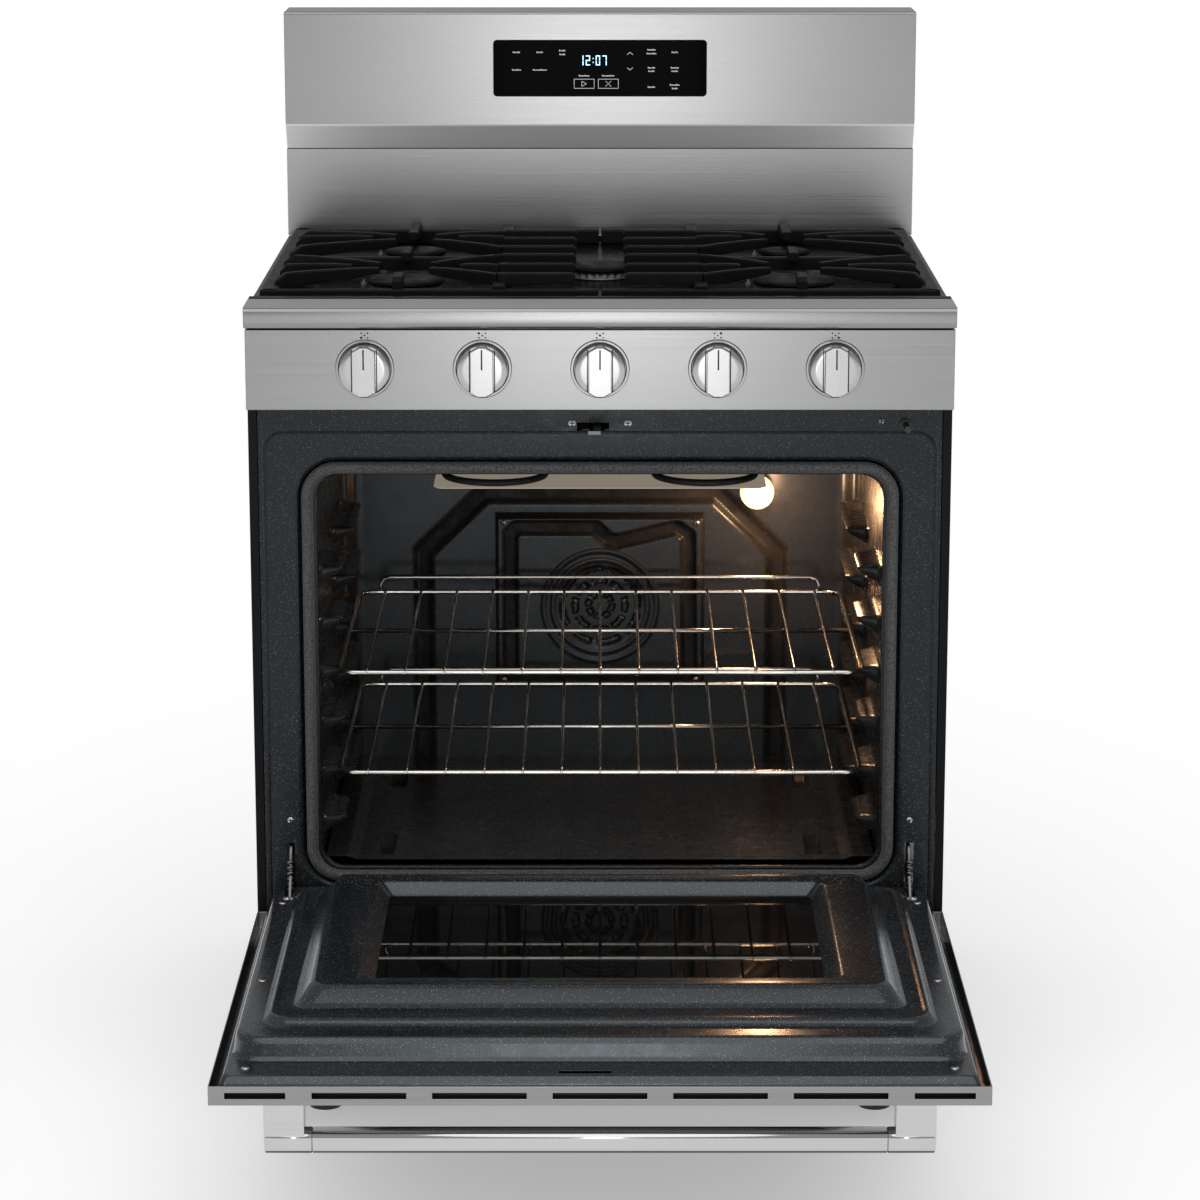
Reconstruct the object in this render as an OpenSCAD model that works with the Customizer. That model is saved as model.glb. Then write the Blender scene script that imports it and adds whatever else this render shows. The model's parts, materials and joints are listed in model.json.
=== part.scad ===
// Freestanding gas range with its oven door open.
// Millimetres, +Z up, +X to the right of someone who faces the range, -Y towards them.
// Lengths are written from the face of the oven front frame, and placed() then moves
// everything so that the origin is under the middle of the whole outline, on the floor.

/* [Body] */
// Width across the side panels
body_w = 758; // [750:1:762]
// Depth from the oven front frame to the rear cover
body_depth = 650; // [640:1:660]
// Height of the cooking surface
cooktop_z = 914; // [912:1:918]
// Height of the front frame's top edge
frame_top_z = 812; // [808:1:812]

/* [Oven] */
// Width of the clear oven mouth
mouth_w = 614; // [608:1:614]
// Height of the mouth's lower edge
mouth_bottom_z = 290; // [288:1:292]
// Height of the mouth's upper edge
mouth_top_z = 731; // [728:1:733]
// Depth of the cavity
cavity_depth = 480; // [470:5:490]
// Height of the upper rack
upper_rack_z = 506; // [500:1:512]
// Height of the lower rack
lower_rack_z = 392; // [386:1:398]

/* [Door] */
// Width of the door skin
door_w = 759; // [755:1:762]
// Reach of the open door in front of the front frame
door_reach = 562; // [556:1:566]
// Height of the hinge pins
hinge_z = 260.5; // [260:0.5:261]
// Distance of the hinge pins in front of the front frame
hinge_out = 20.5; // [20:0.5:21]
// Width of the inner window
window_w = 456; // [430:2:460]

/* [Controls] */
// Distance between neighbouring knobs
knob_pitch = 124.6; // [120:0.2:126]
// Radius of a knob
knob_r = 27; // [24:0.5:28]
// How far a knob can be pushed in
knob_travel = 4; // [3:0.5:4]

/* [Console] */
// Height of the back console
console_top_z = 1185; // [1160:1:1200]
// Width of the display glass
display_w = 257; // [200:1:280]

/* [Drawer] */
// Height of the drawer front's top edge
drawer_top_z = 214; // [206:1:214]
// Depth of the drawer box
drawer_depth = 560; // [500:5:570]

/* [Hidden] */
$fn = 48;
sheet = 1.2;
half_w = body_w / 2;
front_reach = door_reach;
y_shift = (front_reach - body_depth) / 2;

// base
foot_x = 310;
foot_y = [40, 620];
foot_r = 18;
foot_screw_r = 4.95;
base_z = [30, 48];

// front frame and oven mouth
frame_half_w = 369;
frame_bottom_z = 218;
recess_depth = 12;
recess_half_w = 326;
recess_bottom_z = 272;
recess_top_z = 749;
recess_r = 43;
mouth_r = 26;
gasket_half_w = 323;
gasket_rope = 12;
gasket_front_y = -0.5;
gasket_z = [275, 746];
gasket_r = 38;
latch_z = 786;
latch_pivot_x = -3;
latch_pivot_y = 26;
latch_pivot_r = 3;
switch_x = 329;
switch_z = 788;
switch_r = 3.5;
cavity_half_w = 309;
ceiling_z = 735;
floor_z = 236;
bottom_panel_z = 290.5;
cavity_front_y = recess_depth + sheet;
insulation_w = 24;
insulation_top_z = 760;

// racks
rack_half_w = 288;
rack_front_y = 30;
rack_depth = 400;
rack_rod_r = 3;
rack_wire_r = 1.7;
rack_pitch = 42.8;
rack_wires = 13;
ledge_step = 57;
ledge_inner_x = 284;
ledge_t = 4;

// fan, lamp and burners of the oven
fan_z = 484;
fan_r = 60;
fan_shaft_r = 4;
fan_cover_half_w = 128;
fan_cover_z = [380, 596];
fan_cover_d = 30;
lamp_x = 188;
lamp_z = 625;
broil_z = 700;
broil_tube_z = broil_z + 7;
broil_tube_r = 4;
bake_tube_z = 262;
bake_tube_r = 9;
bake_half_w = 90;
bake_y = [60, 430];
panel_half_w = 304;
sensor_x = -170;
sensor_z = 655;

// door, as it lies open
skin_bottom_z = 221.5;
skin_t = 1.5;
strip_top_z = 241;
door_rear_y = -1;
liner_rear_y = -6;
// each level of the liner: half width, front edge, rear edge, corner radius, height
LINER = [
    [362, -555, liner_rear_y, 8, 250],
    [361, -515, liner_rear_y, 30, 273],
    [330, -476, -24, 22, 280],
    [286, -413, -53, 14, 296]
];
window_front_y = -381;
window_rear_y = -85;
hinge_x = 341;
hinge_slot_w = 10;
pin_r = 4;
pin_gap = 0.05;
arm_t = 3;
vent_pitch = 116.6;
vent_w = 91.5;
vent_h = 6;

// handle, hanging under the open door
handle_bottom_z = 168.6;
handle_h = 22.4;
handle_front_y = -556;
handle_d = 24;
handle_seam_x = 280;
handle_end_x = 327;

// drawer
drawer_half_w = 374.5;
drawer_bottom_z = 41;
drawer_front_y = -52;
drawer_front_d = 18;
drawer_box_half_w = 330;
drawer_box_z = [54, 170];
guide_z = [94, 110];
guide_x = [336, 352];

// cooktop
pan_front_y = 20.5;
pan_rear_y = 594.5;
pan_well = 8;
grate_top_z = 938;
grate_bar_z = 925;
grate_front_y = 65;
grate_rear_y = 578;
grate_half_w = 370;
grate_gap = 1.5;
comb_inner_x = 27;
comb_outer_x = 110;
comb_y = [105, 180, 258, 324, 396, 462];
finger_x = 220;
finger_y = [[grate_front_y + 2, 108], [264, 330], [440, grate_rear_y - 4]];
burner_x = 216;
burner_front_y = 178;
burner_rear_y = 415;
// each burner: x, y, cap radius
BURNERS = [
    [-burner_x, burner_front_y, 42],
    [-burner_x, burner_rear_y, 36],
    [0, 290, 40],
    [burner_x, burner_rear_y, 30],
    [burner_x, burner_front_y, 46]
];
trim_half_w = 376;
trim_front_y = -66;
trim_rear_y = 0;
trim_z = [902, 925];
panel_front_y = -50;
panel_z = [813, 899];
knob_z = 857.5;
knob_back_y = panel_front_y - knob_travel - 0.5;
knob_front_y = -78;
stem_r = 3;
valve_y = [-44, -20.2];
manifold_y = -12;
manifold_r = 8;
gas_riser_x = 356;
gas_riser_y = 600;

// console
riser_y = 595;
console_y = 575;
riser_top_z = 1019;
bevel_top_z = 1049;
display_z = [1084, 1152];
display_front_y = console_y - 1;

// services at the rear
regulator_x = 250;
regulator_z = 110;
gas_thread_r = 9.25;
gas_thread_l = 18;
cord_hole_r = 6;
cord_neck_r = 10;
cord_inlet_x = -250;
cord_inlet_z = 150;

// ---- shared shapes ----

// moves a sub-part from front-frame lengths to the part's own origin
module placed() {
    translate([0, y_shift, 0]) children();
}

module both_sides() {
    for (side = [0, 1]) mirror([side, 0, 0]) children();
}

module block(x, y, z) {
    translate([x[0], y[0], z[0]]) cube([x[1] - x[0], y[1] - y[0], z[1] - z[0]]);
}

// a flat outline in X and Z, made thick along +Y from y
module along_y(y, depth) {
    translate([0, y + depth, 0]) rotate([90, 0, 0]) linear_extrude(depth) children();
}

// a flat outline in Y and Z, made thick along +X from x
module along_x(x, width) {
    translate([x, 0, 0]) rotate([90, 0, 90]) linear_extrude(width) children();
}

module round_rect(x, y, r) {
    translate([x[0] + r, y[0]]) square([x[1] - x[0] - 2 * r, y[1] - y[0]]);
    translate([x[0], y[0] + r]) square([x[1] - x[0], y[1] - y[0] - 2 * r]);
    for (cx = [x[0] + r, x[1] - r], cy = [y[0] + r, y[1] - r])
        translate([cx, cy]) circle(r);
}

module rod_x(x, y, z, r) {
    translate([x[0], y, z]) rotate([0, 90, 0]) cylinder(h = x[1] - x[0], r = r);
}

module rod_y(x, y, z, r) {
    translate([x, y[0], z]) rotate([-90, 0, 0]) cylinder(h = y[1] - y[0], r = r);
}

module rod_z(x, y, z, r) {
    translate([x, y, z[0]]) cylinder(h = z[1] - z[0], r = r);
}

// a straight bar of width w between two points of the cooktop
module bar(from, to, z, w) {
    run = to - from;
    translate([from[0], from[1], z[0]])
        rotate([0, 0, atan2(run[1], run[0])])
            translate([0, -w / 2, 0]) cube([norm(run), w, z[1] - z[0]]);
}

// ---- casing and frame ----

module side_panels() placed() color("dimgray") both_sides() {
    bottom = 25;
    top = cooktop_z - 9;
    rear = body_depth - 2;
    block([half_w - sheet, half_w], [0, rear], [bottom, top]);
    block([frame_half_w + 0.5, half_w], [0, sheet], [bottom, top]);
    block([half_w - 15, half_w], [rear - sheet, rear], [bottom, top]);
    block([half_w - 15, half_w], [0, rear], [bottom, bottom + sheet]);
}

// an upper plate with vents, and lower plates that leave the cord gland and the gas inlet free
module rear_cover() placed() color("lightgray") {
    y = [body_depth - 2, body_depth];
    split_z = 182;
    lower_z = [60, split_z - 2];
    side = half_w - 8;
    vent_top_z = 856;
    difference() {
        block([-side, side], y, [split_z, cooktop_z - 9]);
        for (row = [0:5])
            translate([0, 0, -18 * row])
                block([-150, 150], y + [-3, 3], [vent_top_z - 6, vent_top_z]);
    }
    block([-side, cord_inlet_x - cord_neck_r], y, lower_z);
    block([cord_inlet_x + cord_neck_r, regulator_x - 50], y, lower_z);
}

module base_frame() placed() color("dimgray") difference() {
    union() {
        both_sides() block([350, 376], [20, 640], base_z);
        for (y = foot_y) block([-352, 352], [y - 20, y + 20], base_z);
    }
    both_sides() for (y = foot_y) rod_z(foot_x, y, [0, 60], foot_screw_r + 0.05);
}

module levelling_feet() placed() color("black") both_sides() for (y = foot_y) {
    rod_z(foot_x, y, [0, 14], foot_r);
    rod_z(foot_x, y, [10, 47], foot_screw_r);
}

module recess_outline(inset = 0) {
    round_rect([-recess_half_w + inset, recess_half_w - inset],
        [recess_bottom_z + inset, recess_top_z - inset], recess_r - inset);
}

module mouth_outline() {
    round_rect([-mouth_w / 2, mouth_w / 2], [mouth_bottom_z, mouth_top_z], mouth_r);
}

module oven_front_frame() placed() color("darkslategray") difference() {
    union() {
        along_y(0, sheet) difference() {
            translate([-frame_half_w, frame_bottom_z])
                square([2 * frame_half_w, frame_top_z - frame_bottom_z]);
            recess_outline(sheet);
        }
        along_y(0, recess_depth) difference() {
            recess_outline();
            recess_outline(sheet);
        }
        along_y(recess_depth, sheet) difference() {
            recess_outline();
            mouth_outline();
        }
        // shelf and pivot of the latch, and the housing of the door switch
        block([-20, 14], [0.5, 40], [latch_z - 12, latch_z - 10]);
        rod_z(latch_pivot_x, latch_pivot_y, [latch_z - 11, latch_z + 10], latch_pivot_r);
        block([switch_x - 8, switch_x + 8], [0.5, 24], [switch_z - 8, switch_z + 8]);
    }
    block([-25, 10], [-2, 1.5], [latch_z - 5, latch_z + 5]);
    rod_y(switch_x, [-2, 20], switch_z, switch_r + 0.3);
    both_sides() block([hinge_x - hinge_slot_w / 2, hinge_x + hinge_slot_w / 2],
        [-2, 5], [262, 320]);
}

module door_gasket() placed() color("gray")
    along_y(gasket_front_y, recess_depth - gasket_front_y) difference() {
        round_rect([-gasket_half_w, gasket_half_w], gasket_z, gasket_r);
        round_rect([-gasket_half_w + gasket_rope, gasket_half_w - gasket_rope],
            gasket_z + [gasket_rope, -gasket_rope], gasket_r - gasket_rope);
    }

// ---- oven cavity ----

module cavity_side_walls() placed() color("slategray") both_sides() {
    block([cavity_half_w, cavity_half_w + sheet], [cavity_front_y, cavity_depth],
        [floor_z, ceiling_z]);
    for (level = [-1:4])
        block([ledge_inner_x, cavity_half_w], [cavity_front_y + 30, cavity_depth - 30],
            [lower_rack_z + level * ledge_step - rack_rod_r - ledge_t - 0.2,
             lower_rack_z + level * ledge_step - rack_rod_r - 0.2]);
}

module cavity_ceiling() placed() color("slategray")
    block([-cavity_half_w - sheet, cavity_half_w + sheet], [cavity_front_y, cavity_depth],
        [ceiling_z, ceiling_z + sheet]);

module cavity_rear_wall() placed() color("slategray") difference() {
    block([-cavity_half_w - sheet, cavity_half_w + sheet], [cavity_depth, cavity_depth + sheet],
        [floor_z, ceiling_z + sheet]);
    rod_y(0, [cavity_depth - 5, cavity_depth + 5], fan_z, fan_shaft_r + 1);
}

module cavity_floor() placed() color("slategray")
    block([-cavity_half_w - sheet, cavity_half_w + sheet],
        [cavity_front_y, cavity_depth + sheet], [floor_z - sheet, floor_z]);

module oven_bottom_panel() placed() color("slategray") difference() {
    union() {
        block([-panel_half_w, panel_half_w], [30, 470], [bottom_panel_z, bottom_panel_z + sheet]);
        both_sides()
            block([panel_half_w - sheet, panel_half_w], [30, 470], [floor_z, bottom_panel_z]);
    }
    both_sides() for (k = [0:4])
        block([262, 272], [60 + 80 * k, 110 + 80 * k], [bottom_panel_z - 2, bottom_panel_z + 4]);
}

module fan_cover() placed() color("slategray") difference() {
    front = cavity_depth - fan_cover_d;
    block([-fan_cover_half_w, fan_cover_half_w], [front, cavity_depth], fan_cover_z);
    block([-fan_cover_half_w + sheet, fan_cover_half_w - sheet],
        [front + sheet, cavity_depth + 1], fan_cover_z + [sheet, -sheet]);
    for (ring = [14, 30, 46], k = [0:7])
        rotate_about_fan(k * 45 + ring) block([-ring * 0.28, ring * 0.28],
            [front - 1, front + 2], [fan_z + ring - 3, fan_z + ring + 3]);
}

module rotate_about_fan(angle) {
    translate([0, 0, fan_z]) rotate([0, angle, 0]) translate([0, 0, -fan_z]) children();
}

module convection_fan() placed() color("silver") {
    disc_y = cavity_depth - 12;
    rod_y(0, [disc_y - 10, disc_y + 40], fan_z, fan_shaft_r);
    rod_y(0, [disc_y, disc_y + 1.5], fan_z, fan_r - 5);
    for (k = [0:8])
        rotate_about_fan(k * 40) block([-1, 1], [disc_y - 11, disc_y + 0.5],
            [fan_z + 22, fan_z + fan_r - 5]);
}

module fan_motor() placed() color("silver") difference() {
    rod_y(0, [cavity_depth + 4, cavity_depth + 70], fan_z, 42);
    rod_y(0, [cavity_depth, cavity_depth + 30], fan_z, fan_shaft_r + 0.05);
}

module bake_burner() placed() color("silver") {
    both_sides() rod_y(bake_half_w, bake_y, bake_tube_z, bake_tube_r);
    for (y = bake_y) rod_x([-bake_half_w, bake_half_w], y, bake_tube_z, bake_tube_r);
    rod_z(0, bake_y[1], [floor_z, bake_tube_z], 7);
}

module broil_burner() placed() color("silver") {
    block([-184, 184], [60, 330], [broil_z, broil_z + 1.5]);
    both_sides() {
        translate([117, 125, broil_tube_z])
            rotate_extrude() translate([56, 0]) circle(broil_tube_r);
        rod_y(117, [181, 340], broil_tube_z, broil_tube_r);
        block([115, 119], [65, 69], [broil_z + 1.5, broil_tube_z]);
        rod_z(150, 290, [broil_z + 1.5, ceiling_z], 4);
    }
    rod_x([-117, 117], 340, broil_tube_z, broil_tube_r);
}

module oven_lamp() placed() color("khaki") {
    rod_y(lamp_x, [cavity_depth - 18, cavity_depth], lamp_z, 17);
    translate([lamp_x, cavity_depth - 34, lamp_z]) sphere(21);
}

module temperature_sensor() placed() color("silver")
    rod_y(sensor_x, [cavity_depth - 45, cavity_depth], sensor_z, 2.5);

module oven_insulation() placed() color("khaki") {
    inner = cavity_half_w + sheet + 0.5;
    outer = inner + insulation_w;
    front = cavity_front_y + 2;
    rear = cavity_depth + sheet;
    both_sides() block([inner, outer], [front, rear], [floor_z - 16, insulation_top_z]);
    block([-inner, inner], [front, rear], [ceiling_z + sheet, insulation_top_z]);
    block([-inner, inner], [front, rear], [floor_z - 16, floor_z - sheet]);
    difference() {
        block([-outer, outer], [rear, rear + insulation_w], [floor_z - 16, insulation_top_z]);
        rod_y(0, [rear - 5, rear + insulation_w + 5], fan_z, 46);
    }
}

// ---- moving pieces of the oven ----

module rack(z) {
    rear_y = rack_front_y + rack_depth;
    both_sides() rod_y(rack_half_w, [rack_front_y, rear_y], z, rack_rod_r);
    for (y = [rack_front_y, rack_front_y + rack_depth / 2, rear_y])
        rod_x([-rack_half_w, rack_half_w], y, z, rack_rod_r);
    for (k = [0:rack_wires - 1])
        rod_y((k - (rack_wires - 1) / 2) * rack_pitch, [rack_front_y, rear_y],
            z + rack_rod_r, rack_wire_r);
    rod_x([-rack_half_w, rack_half_w], rear_y, z + 18, rack_rod_r);
    both_sides() rod_z(rack_half_w, rear_y, [z, z + 18], rack_rod_r);
}

module rack_upper() placed() color("silver") rack(upper_rack_z);

module rack_lower() placed() color("silver") rack(lower_rack_z);

// a flat hook that swings about an upright pivot behind the front frame
module latch_hook() placed() color("silver") difference() {
    union() {
        block([-7, 1], [-38, 24], [latch_z - 2, latch_z + 2]);
        block([-13, 0], [-38, -34], [latch_z - 2, latch_z + 2]);
        rod_z(latch_pivot_x, latch_pivot_y, [latch_z - 9.8, latch_z + 8], 8);
    }
    rod_z(latch_pivot_x, latch_pivot_y, [latch_z - 20, latch_z + 20], latch_pivot_r + 0.05);
}

module door_switch_button() placed() color("black")
    rod_y(switch_x, [-30, 14], switch_z, switch_r);

// ---- door, lying open ----

module door_skin() placed() color("silver") difference() {
    block([-door_w / 2, door_w / 2], [-door_reach, door_rear_y], [skin_bottom_z, strip_top_z]);
    block([-door_w / 2 + skin_t, door_w / 2 - skin_t],
        [-door_reach + skin_t, door_rear_y - skin_t], [skin_bottom_z + skin_t, strip_top_z + 1]);
    for (k = [-2:2]) vent(k * vent_pitch, vent_w);
    both_sides() vent(334, 59);
    outer_window(10, skin_bottom_z - 1, skin_t + 2);
}

// one slot in the strip along the door's top edge
module vent(x, width) {
    mid_z = (skin_bottom_z + strip_top_z) / 2;
    block([x - width / 2, x + width / 2], [-door_reach - 1, -door_reach + 5],
        [mid_z - vent_h / 2, mid_z + vent_h / 2]);
}

// the outline of the outer glass, with corners of radius r, made thick from height z
module outer_window(r, z, thickness) {
    gap = 10 - r;
    translate([0, 0, z]) linear_extrude(thickness)
        round_rect([-250 + gap, 250 - gap], [-440 + gap, -110 - gap], r);
}

module door_outer_glass() placed() color("black")
    outer_window(9.7, skin_bottom_z + 0.2, 4);

// the stack of pressed levels that makes the liner, drawn in by inset all round
module liner_levels(inset) {
    for (level = LINER)
        translate([0, 0, strip_top_z - 1]) linear_extrude(level[4] - strip_top_z + 1 - inset)
            round_rect([-level[0] + inset, level[0] - inset],
                [level[1] + inset, level[2] - inset], level[3] - inset);
}

module door_liner() placed() color("darkslategray") difference() {
    union() {
        liner_levels(0);
        block([-door_w / 2 + 2, door_w / 2 - 2], [-door_reach + 2, -556],
            [strip_top_z - 1, strip_top_z + 2]);
        block([-door_w / 2 + 2, door_w / 2 - 2], [-557, -6.5], [strip_top_z - 1, strip_top_z]);
    }
    difference() {
        liner_levels(1.5);
        window_frame(1.5);
    }
    block([-window_w / 2, window_w / 2], [window_front_y, window_rear_y], [230, 300]);
    block([-40, 11], [-551, -539], [230, 252]);
    both_sides() block([hinge_x - hinge_slot_w / 2, hinge_x + hinge_slot_w / 2],
        [-60, 0], [255, 280]);
}

// the walls that hold the window glass below the plateau
module window_frame(t) {
    difference() {
        block([-window_w / 2 - t, window_w / 2 + t], [window_front_y - t, window_rear_y + t],
            [285.2, 300]);
        block([-window_w / 2, window_w / 2], [window_front_y, window_rear_y], [280, 301]);
    }
}

module door_window_glass() placed() color("black")
    block([-window_w / 2 - 8, window_w / 2 + 8], [window_front_y - 8, window_rear_y + 8],
        [281, 285]);

module handle_bar() placed() color("silver")
    translate([-handle_seam_x, 0, 0]) along_x(0, 2 * handle_seam_x) difference() {
        handle_section(0);
        handle_section(2);
    }

module handle_section(inset) {
    round_rect([handle_front_y + inset, handle_front_y + handle_d - inset],
        [handle_bottom_z + inset, handle_bottom_z + handle_h - inset], 6 - inset);
}

module handle_ends() placed() color("silver") both_sides() {
    along_x(handle_seam_x, handle_end_x - handle_seam_x) handle_section(0);
    block([287, handle_end_x], [handle_front_y + 1, handle_front_y + handle_d],
        [handle_bottom_z + 8, skin_bottom_z]);
}

module hinge_channels() placed() color("silver") both_sides() difference() {
    union() {
        block([hinge_x - 8, hinge_x - 6], [-180, -10], [242.5, 268]);
        block([hinge_x + 6, hinge_x + 8], [-180, -14.5], [242.5, 268]);
        block([hinge_x - 8, hinge_x + 8], [-180, -14.5], [242.5, 244.5]);
    }
    rod_x([hinge_x - 10, hinge_x + 10], -hinge_out, hinge_z, pin_r);
}

module hinge_pins() placed() color("silver") both_sides()
    rod_x([hinge_x - 8, hinge_x + 8], -hinge_out, hinge_z, pin_r);

module hinge_arms() placed() color("silver") both_sides() difference() {
    union() {
        rod_x([hinge_x - arm_t / 2, hinge_x + arm_t / 2], -hinge_out, hinge_z, 9);
        along_x(hinge_x - arm_t / 2, arm_t)
            polygon([[-hinge_out, hinge_z - 9], [-6, 264], [4, 266], [34, 266], [38, 272],
                     [38, 286], [30, 292], [30, 310], [22, 316], [4, 316], [-3, 308],
                     [-8, 290], [-hinge_out - 6, hinge_z + 6.7]]);
    }
    rod_x([hinge_x - 10, hinge_x + 10], -hinge_out, hinge_z, pin_r + pin_gap);
}

// ---- cooktop ----

module cooktop_pan() placed() color("black") {
    difference() {
        block([-half_w, half_w], [pan_front_y, pan_rear_y], [cooktop_z - pan_well, cooktop_z]);
        translate([0, 0, cooktop_z - pan_well + 1.5]) linear_extrude(20)
            round_rect([-half_w + 8, half_w - 8], [pan_front_y + 8, pan_rear_y - 6], 12);
        for (b = BURNERS) rod_z(b[0], b[1], [cooktop_z - 20, cooktop_z + 5], b[2] - 6);
    }
    // the raised front edge, which meets the trim
    block([-trim_half_w, trim_half_w], [trim_rear_y + 0.5, pan_front_y + 1],
        [cooktop_z - pan_well, trim_z[1] - 0.2]);
}

module burner_heads() placed() color("silver") for (b = BURNERS) {
    rod_z(b[0], b[1], [cooktop_z - 26, cooktop_z + 2], b[2] - 7);
    rod_z(b[0], b[1], [cooktop_z - 6.5, cooktop_z + 2], b[2] - 3);
}

module burner_caps() placed() color("black") for (b = BURNERS) {
    rod_z(b[0], b[1], [cooktop_z + 2, cooktop_z + 6], b[2]);
    rod_z(b[0], b[1], [cooktop_z + 6, cooktop_z + 7.5], b[2] - 4);
}

// the right-hand grate; the left one mirrors it
module grate() {
    frame_z = [912, grate_bar_z];
    finger_z = [grate_bar_z - 3, grate_top_z];
    slant_z = [grate_bar_z - 2.5, grate_top_z - 0.5];
    mid_y = (burner_front_y + burner_rear_y) / 2;
    difference() {
        block([grate_gap, grate_half_w], [grate_front_y, grate_rear_y], frame_z);
        block([-5, grate_half_w - 22], [grate_front_y + 9, grate_rear_y - 16], [900, 940]);
    }
    for (y = comb_y) bar([comb_inner_x, y], [comb_outer_x + 3, y], finger_z, 8);
    block([comb_outer_x - 8, comb_outer_x + 8], [grate_front_y + 1, grate_rear_y - 2],
        [918, grate_top_z - 8]);
    // three fingers from each side towards each burner
    for (burner = [[burner_front_y, comb_y[0], comb_y[2]], [burner_rear_y, comb_y[3], comb_y[5]]]) {
        b = burner[0];
        for (side = [-1, 1]) {
            root_x = side < 0 ? comb_outer_x - 2 : grate_half_w - 16;
            bar([root_x, burner[1]], [burner_x + side * 30, b - 26], slant_z, 8);
            bar([root_x, b], [burner_x + side * 60, b], slant_z, 7);
            bar([root_x, burner[2]], [burner_x + side * 30, b + 14], slant_z, 8);
        }
    }
    for (y = finger_y) bar([finger_x, y[0]], [finger_x, y[1]], finger_z, 10);
    block([comb_outer_x, grate_half_w - 16], [mid_y - 5, mid_y + 5], [917, grate_top_z - 9]);
    for (x = [comb_outer_x, grate_half_w - 12], y = [grate_front_y + 4.5, grate_rear_y - 8])
        rod_z(x, y, [cooktop_z - pan_well + 1.5, 915], 3.5);
}

module grate_left() placed() color("black") mirror([1, 0, 0]) grate();

module grate_right() placed() color("black") grate();

// a square fitting that joins two pipes
module elbow(x, y, z, size) {
    translate([x, y, z]) cube(size, center = true);
}

module gas_manifold() placed() color("silver") {
    rod_x([-300, gas_riser_x], manifold_y, knob_z, manifold_r);
    rod_y(gas_riser_x, [manifold_y, gas_riser_y], knob_z, manifold_r);
    rod_z(gas_riser_x, gas_riser_y, [regulator_z, knob_z], manifold_r);
    rod_x([regulator_x + 29.5, gas_riser_x], gas_riser_y, regulator_z, manifold_r);
    elbow(gas_riser_x, manifold_y, knob_z, 22);
    elbow(gas_riser_x, gas_riser_y, knob_z, 22);
    elbow(gas_riser_x, gas_riser_y, regulator_z, 22);
    for (k = [0:4]) {
        b = BURNERS[k];
        x = knob_x(k);
        z = 876 + 3 * abs(k - 2);
        rod_z(x, -32, [869, z], 3);
        rod_y(x, [-32, b[1]], z, 3);
        elbow(x, -32, z, 8);
        elbow(x, b[1], z, 8);
        if (x != b[0]) rod_x([min(x, b[0]), max(x, b[0])], b[1], z, 3);
        rod_z(b[0], b[1], [z - 5, cooktop_z - 26], 9);
    }
}

function knob_x(k) = (k - 2) * knob_pitch;

module burner_valves() placed() color("goldenrod") for (k = [0:4]) difference() {
    block([knob_x(k) - 11, knob_x(k) + 11], valve_y, [knob_z - 11, knob_z + 11.5]);
    rod_y(knob_x(k), [valve_y[0] - 1, valve_y[1] - 4], knob_z, stem_r + 0.05);
}

module control_panel() placed() color("silver") difference() {
    union() {
        block([-trim_half_w, trim_half_w], [panel_front_y, panel_front_y + sheet], panel_z);
        block([-trim_half_w, trim_half_w], [panel_front_y, -0.2],
            [panel_z[0], panel_z[0] + sheet]);
        both_sides() block([trim_half_w - sheet, trim_half_w], [panel_front_y, -0.2], panel_z);
        block([-trim_half_w, trim_half_w], [panel_front_y, panel_front_y + 20],
            [panel_z[1] - sheet, panel_z[1]]);
        for (k = [0:4]) rod_y(knob_x(k), [panel_front_y - 2.5, panel_front_y + 1], knob_z, 31);
    }
    for (k = [0:4]) {
        rod_y(knob_x(k), [panel_front_y - 5, panel_front_y], knob_z, knob_r + 1);
        rod_y(knob_x(k), [panel_front_y - 5, panel_front_y + 5], knob_z, 5);
    }
}

module trim_section(inset) {
    r = 9 - inset;
    round_rect([trim_front_y + inset, trim_front_y + 40],
        [trim_z[0] + inset, trim_z[1] - inset], r);
    translate([trim_front_y + 20, trim_z[1] - 10])
        square([trim_rear_y - trim_front_y - 20 - inset, 10 - inset]);
}

module front_trim() placed() color("silver") {
    along_x(-trim_half_w, 2 * trim_half_w) difference() {
        trim_section(0);
        trim_section(sheet);
        translate([trim_front_y + 24, trim_z[0] - 1]) square([100, trim_z[1] - trim_z[0] - 1]);
    }
    both_sides() along_x(trim_half_w - sheet, sheet) trim_section(0);
}

module valve_stem(k) placed() color("silver")
    rod_y(knob_x(k), [knob_back_y - 14, valve_y[1] - 5], knob_z, stem_r);

module valve_stem_1() valve_stem(0);
module valve_stem_2() valve_stem(1);
module valve_stem_3() valve_stem(2);
module valve_stem_4() valve_stem(3);
module valve_stem_5() valve_stem(4);

module knob(k) placed() color("silver") difference() {
    union() {
        rod_y(knob_x(k), [knob_back_y - 8, knob_back_y], knob_z, knob_r);
        intersection() {
            rod_y(knob_x(k), [knob_front_y, knob_back_y], knob_z, knob_r);
            block([knob_x(k) - 12.5, knob_x(k) + 12.5], [knob_front_y - 1, knob_back_y],
                [knob_z - 30, knob_z + 30]);
        }
    }
    rod_y(knob_x(k), [knob_back_y - 19, knob_back_y + 1], knob_z, stem_r + 0.05);
}

module knob_1() knob(0);
module knob_2() knob(1);
module knob_3() knob(2);
module knob_4() knob(3);
module knob_5() knob(4);

// ---- back console ----

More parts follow.
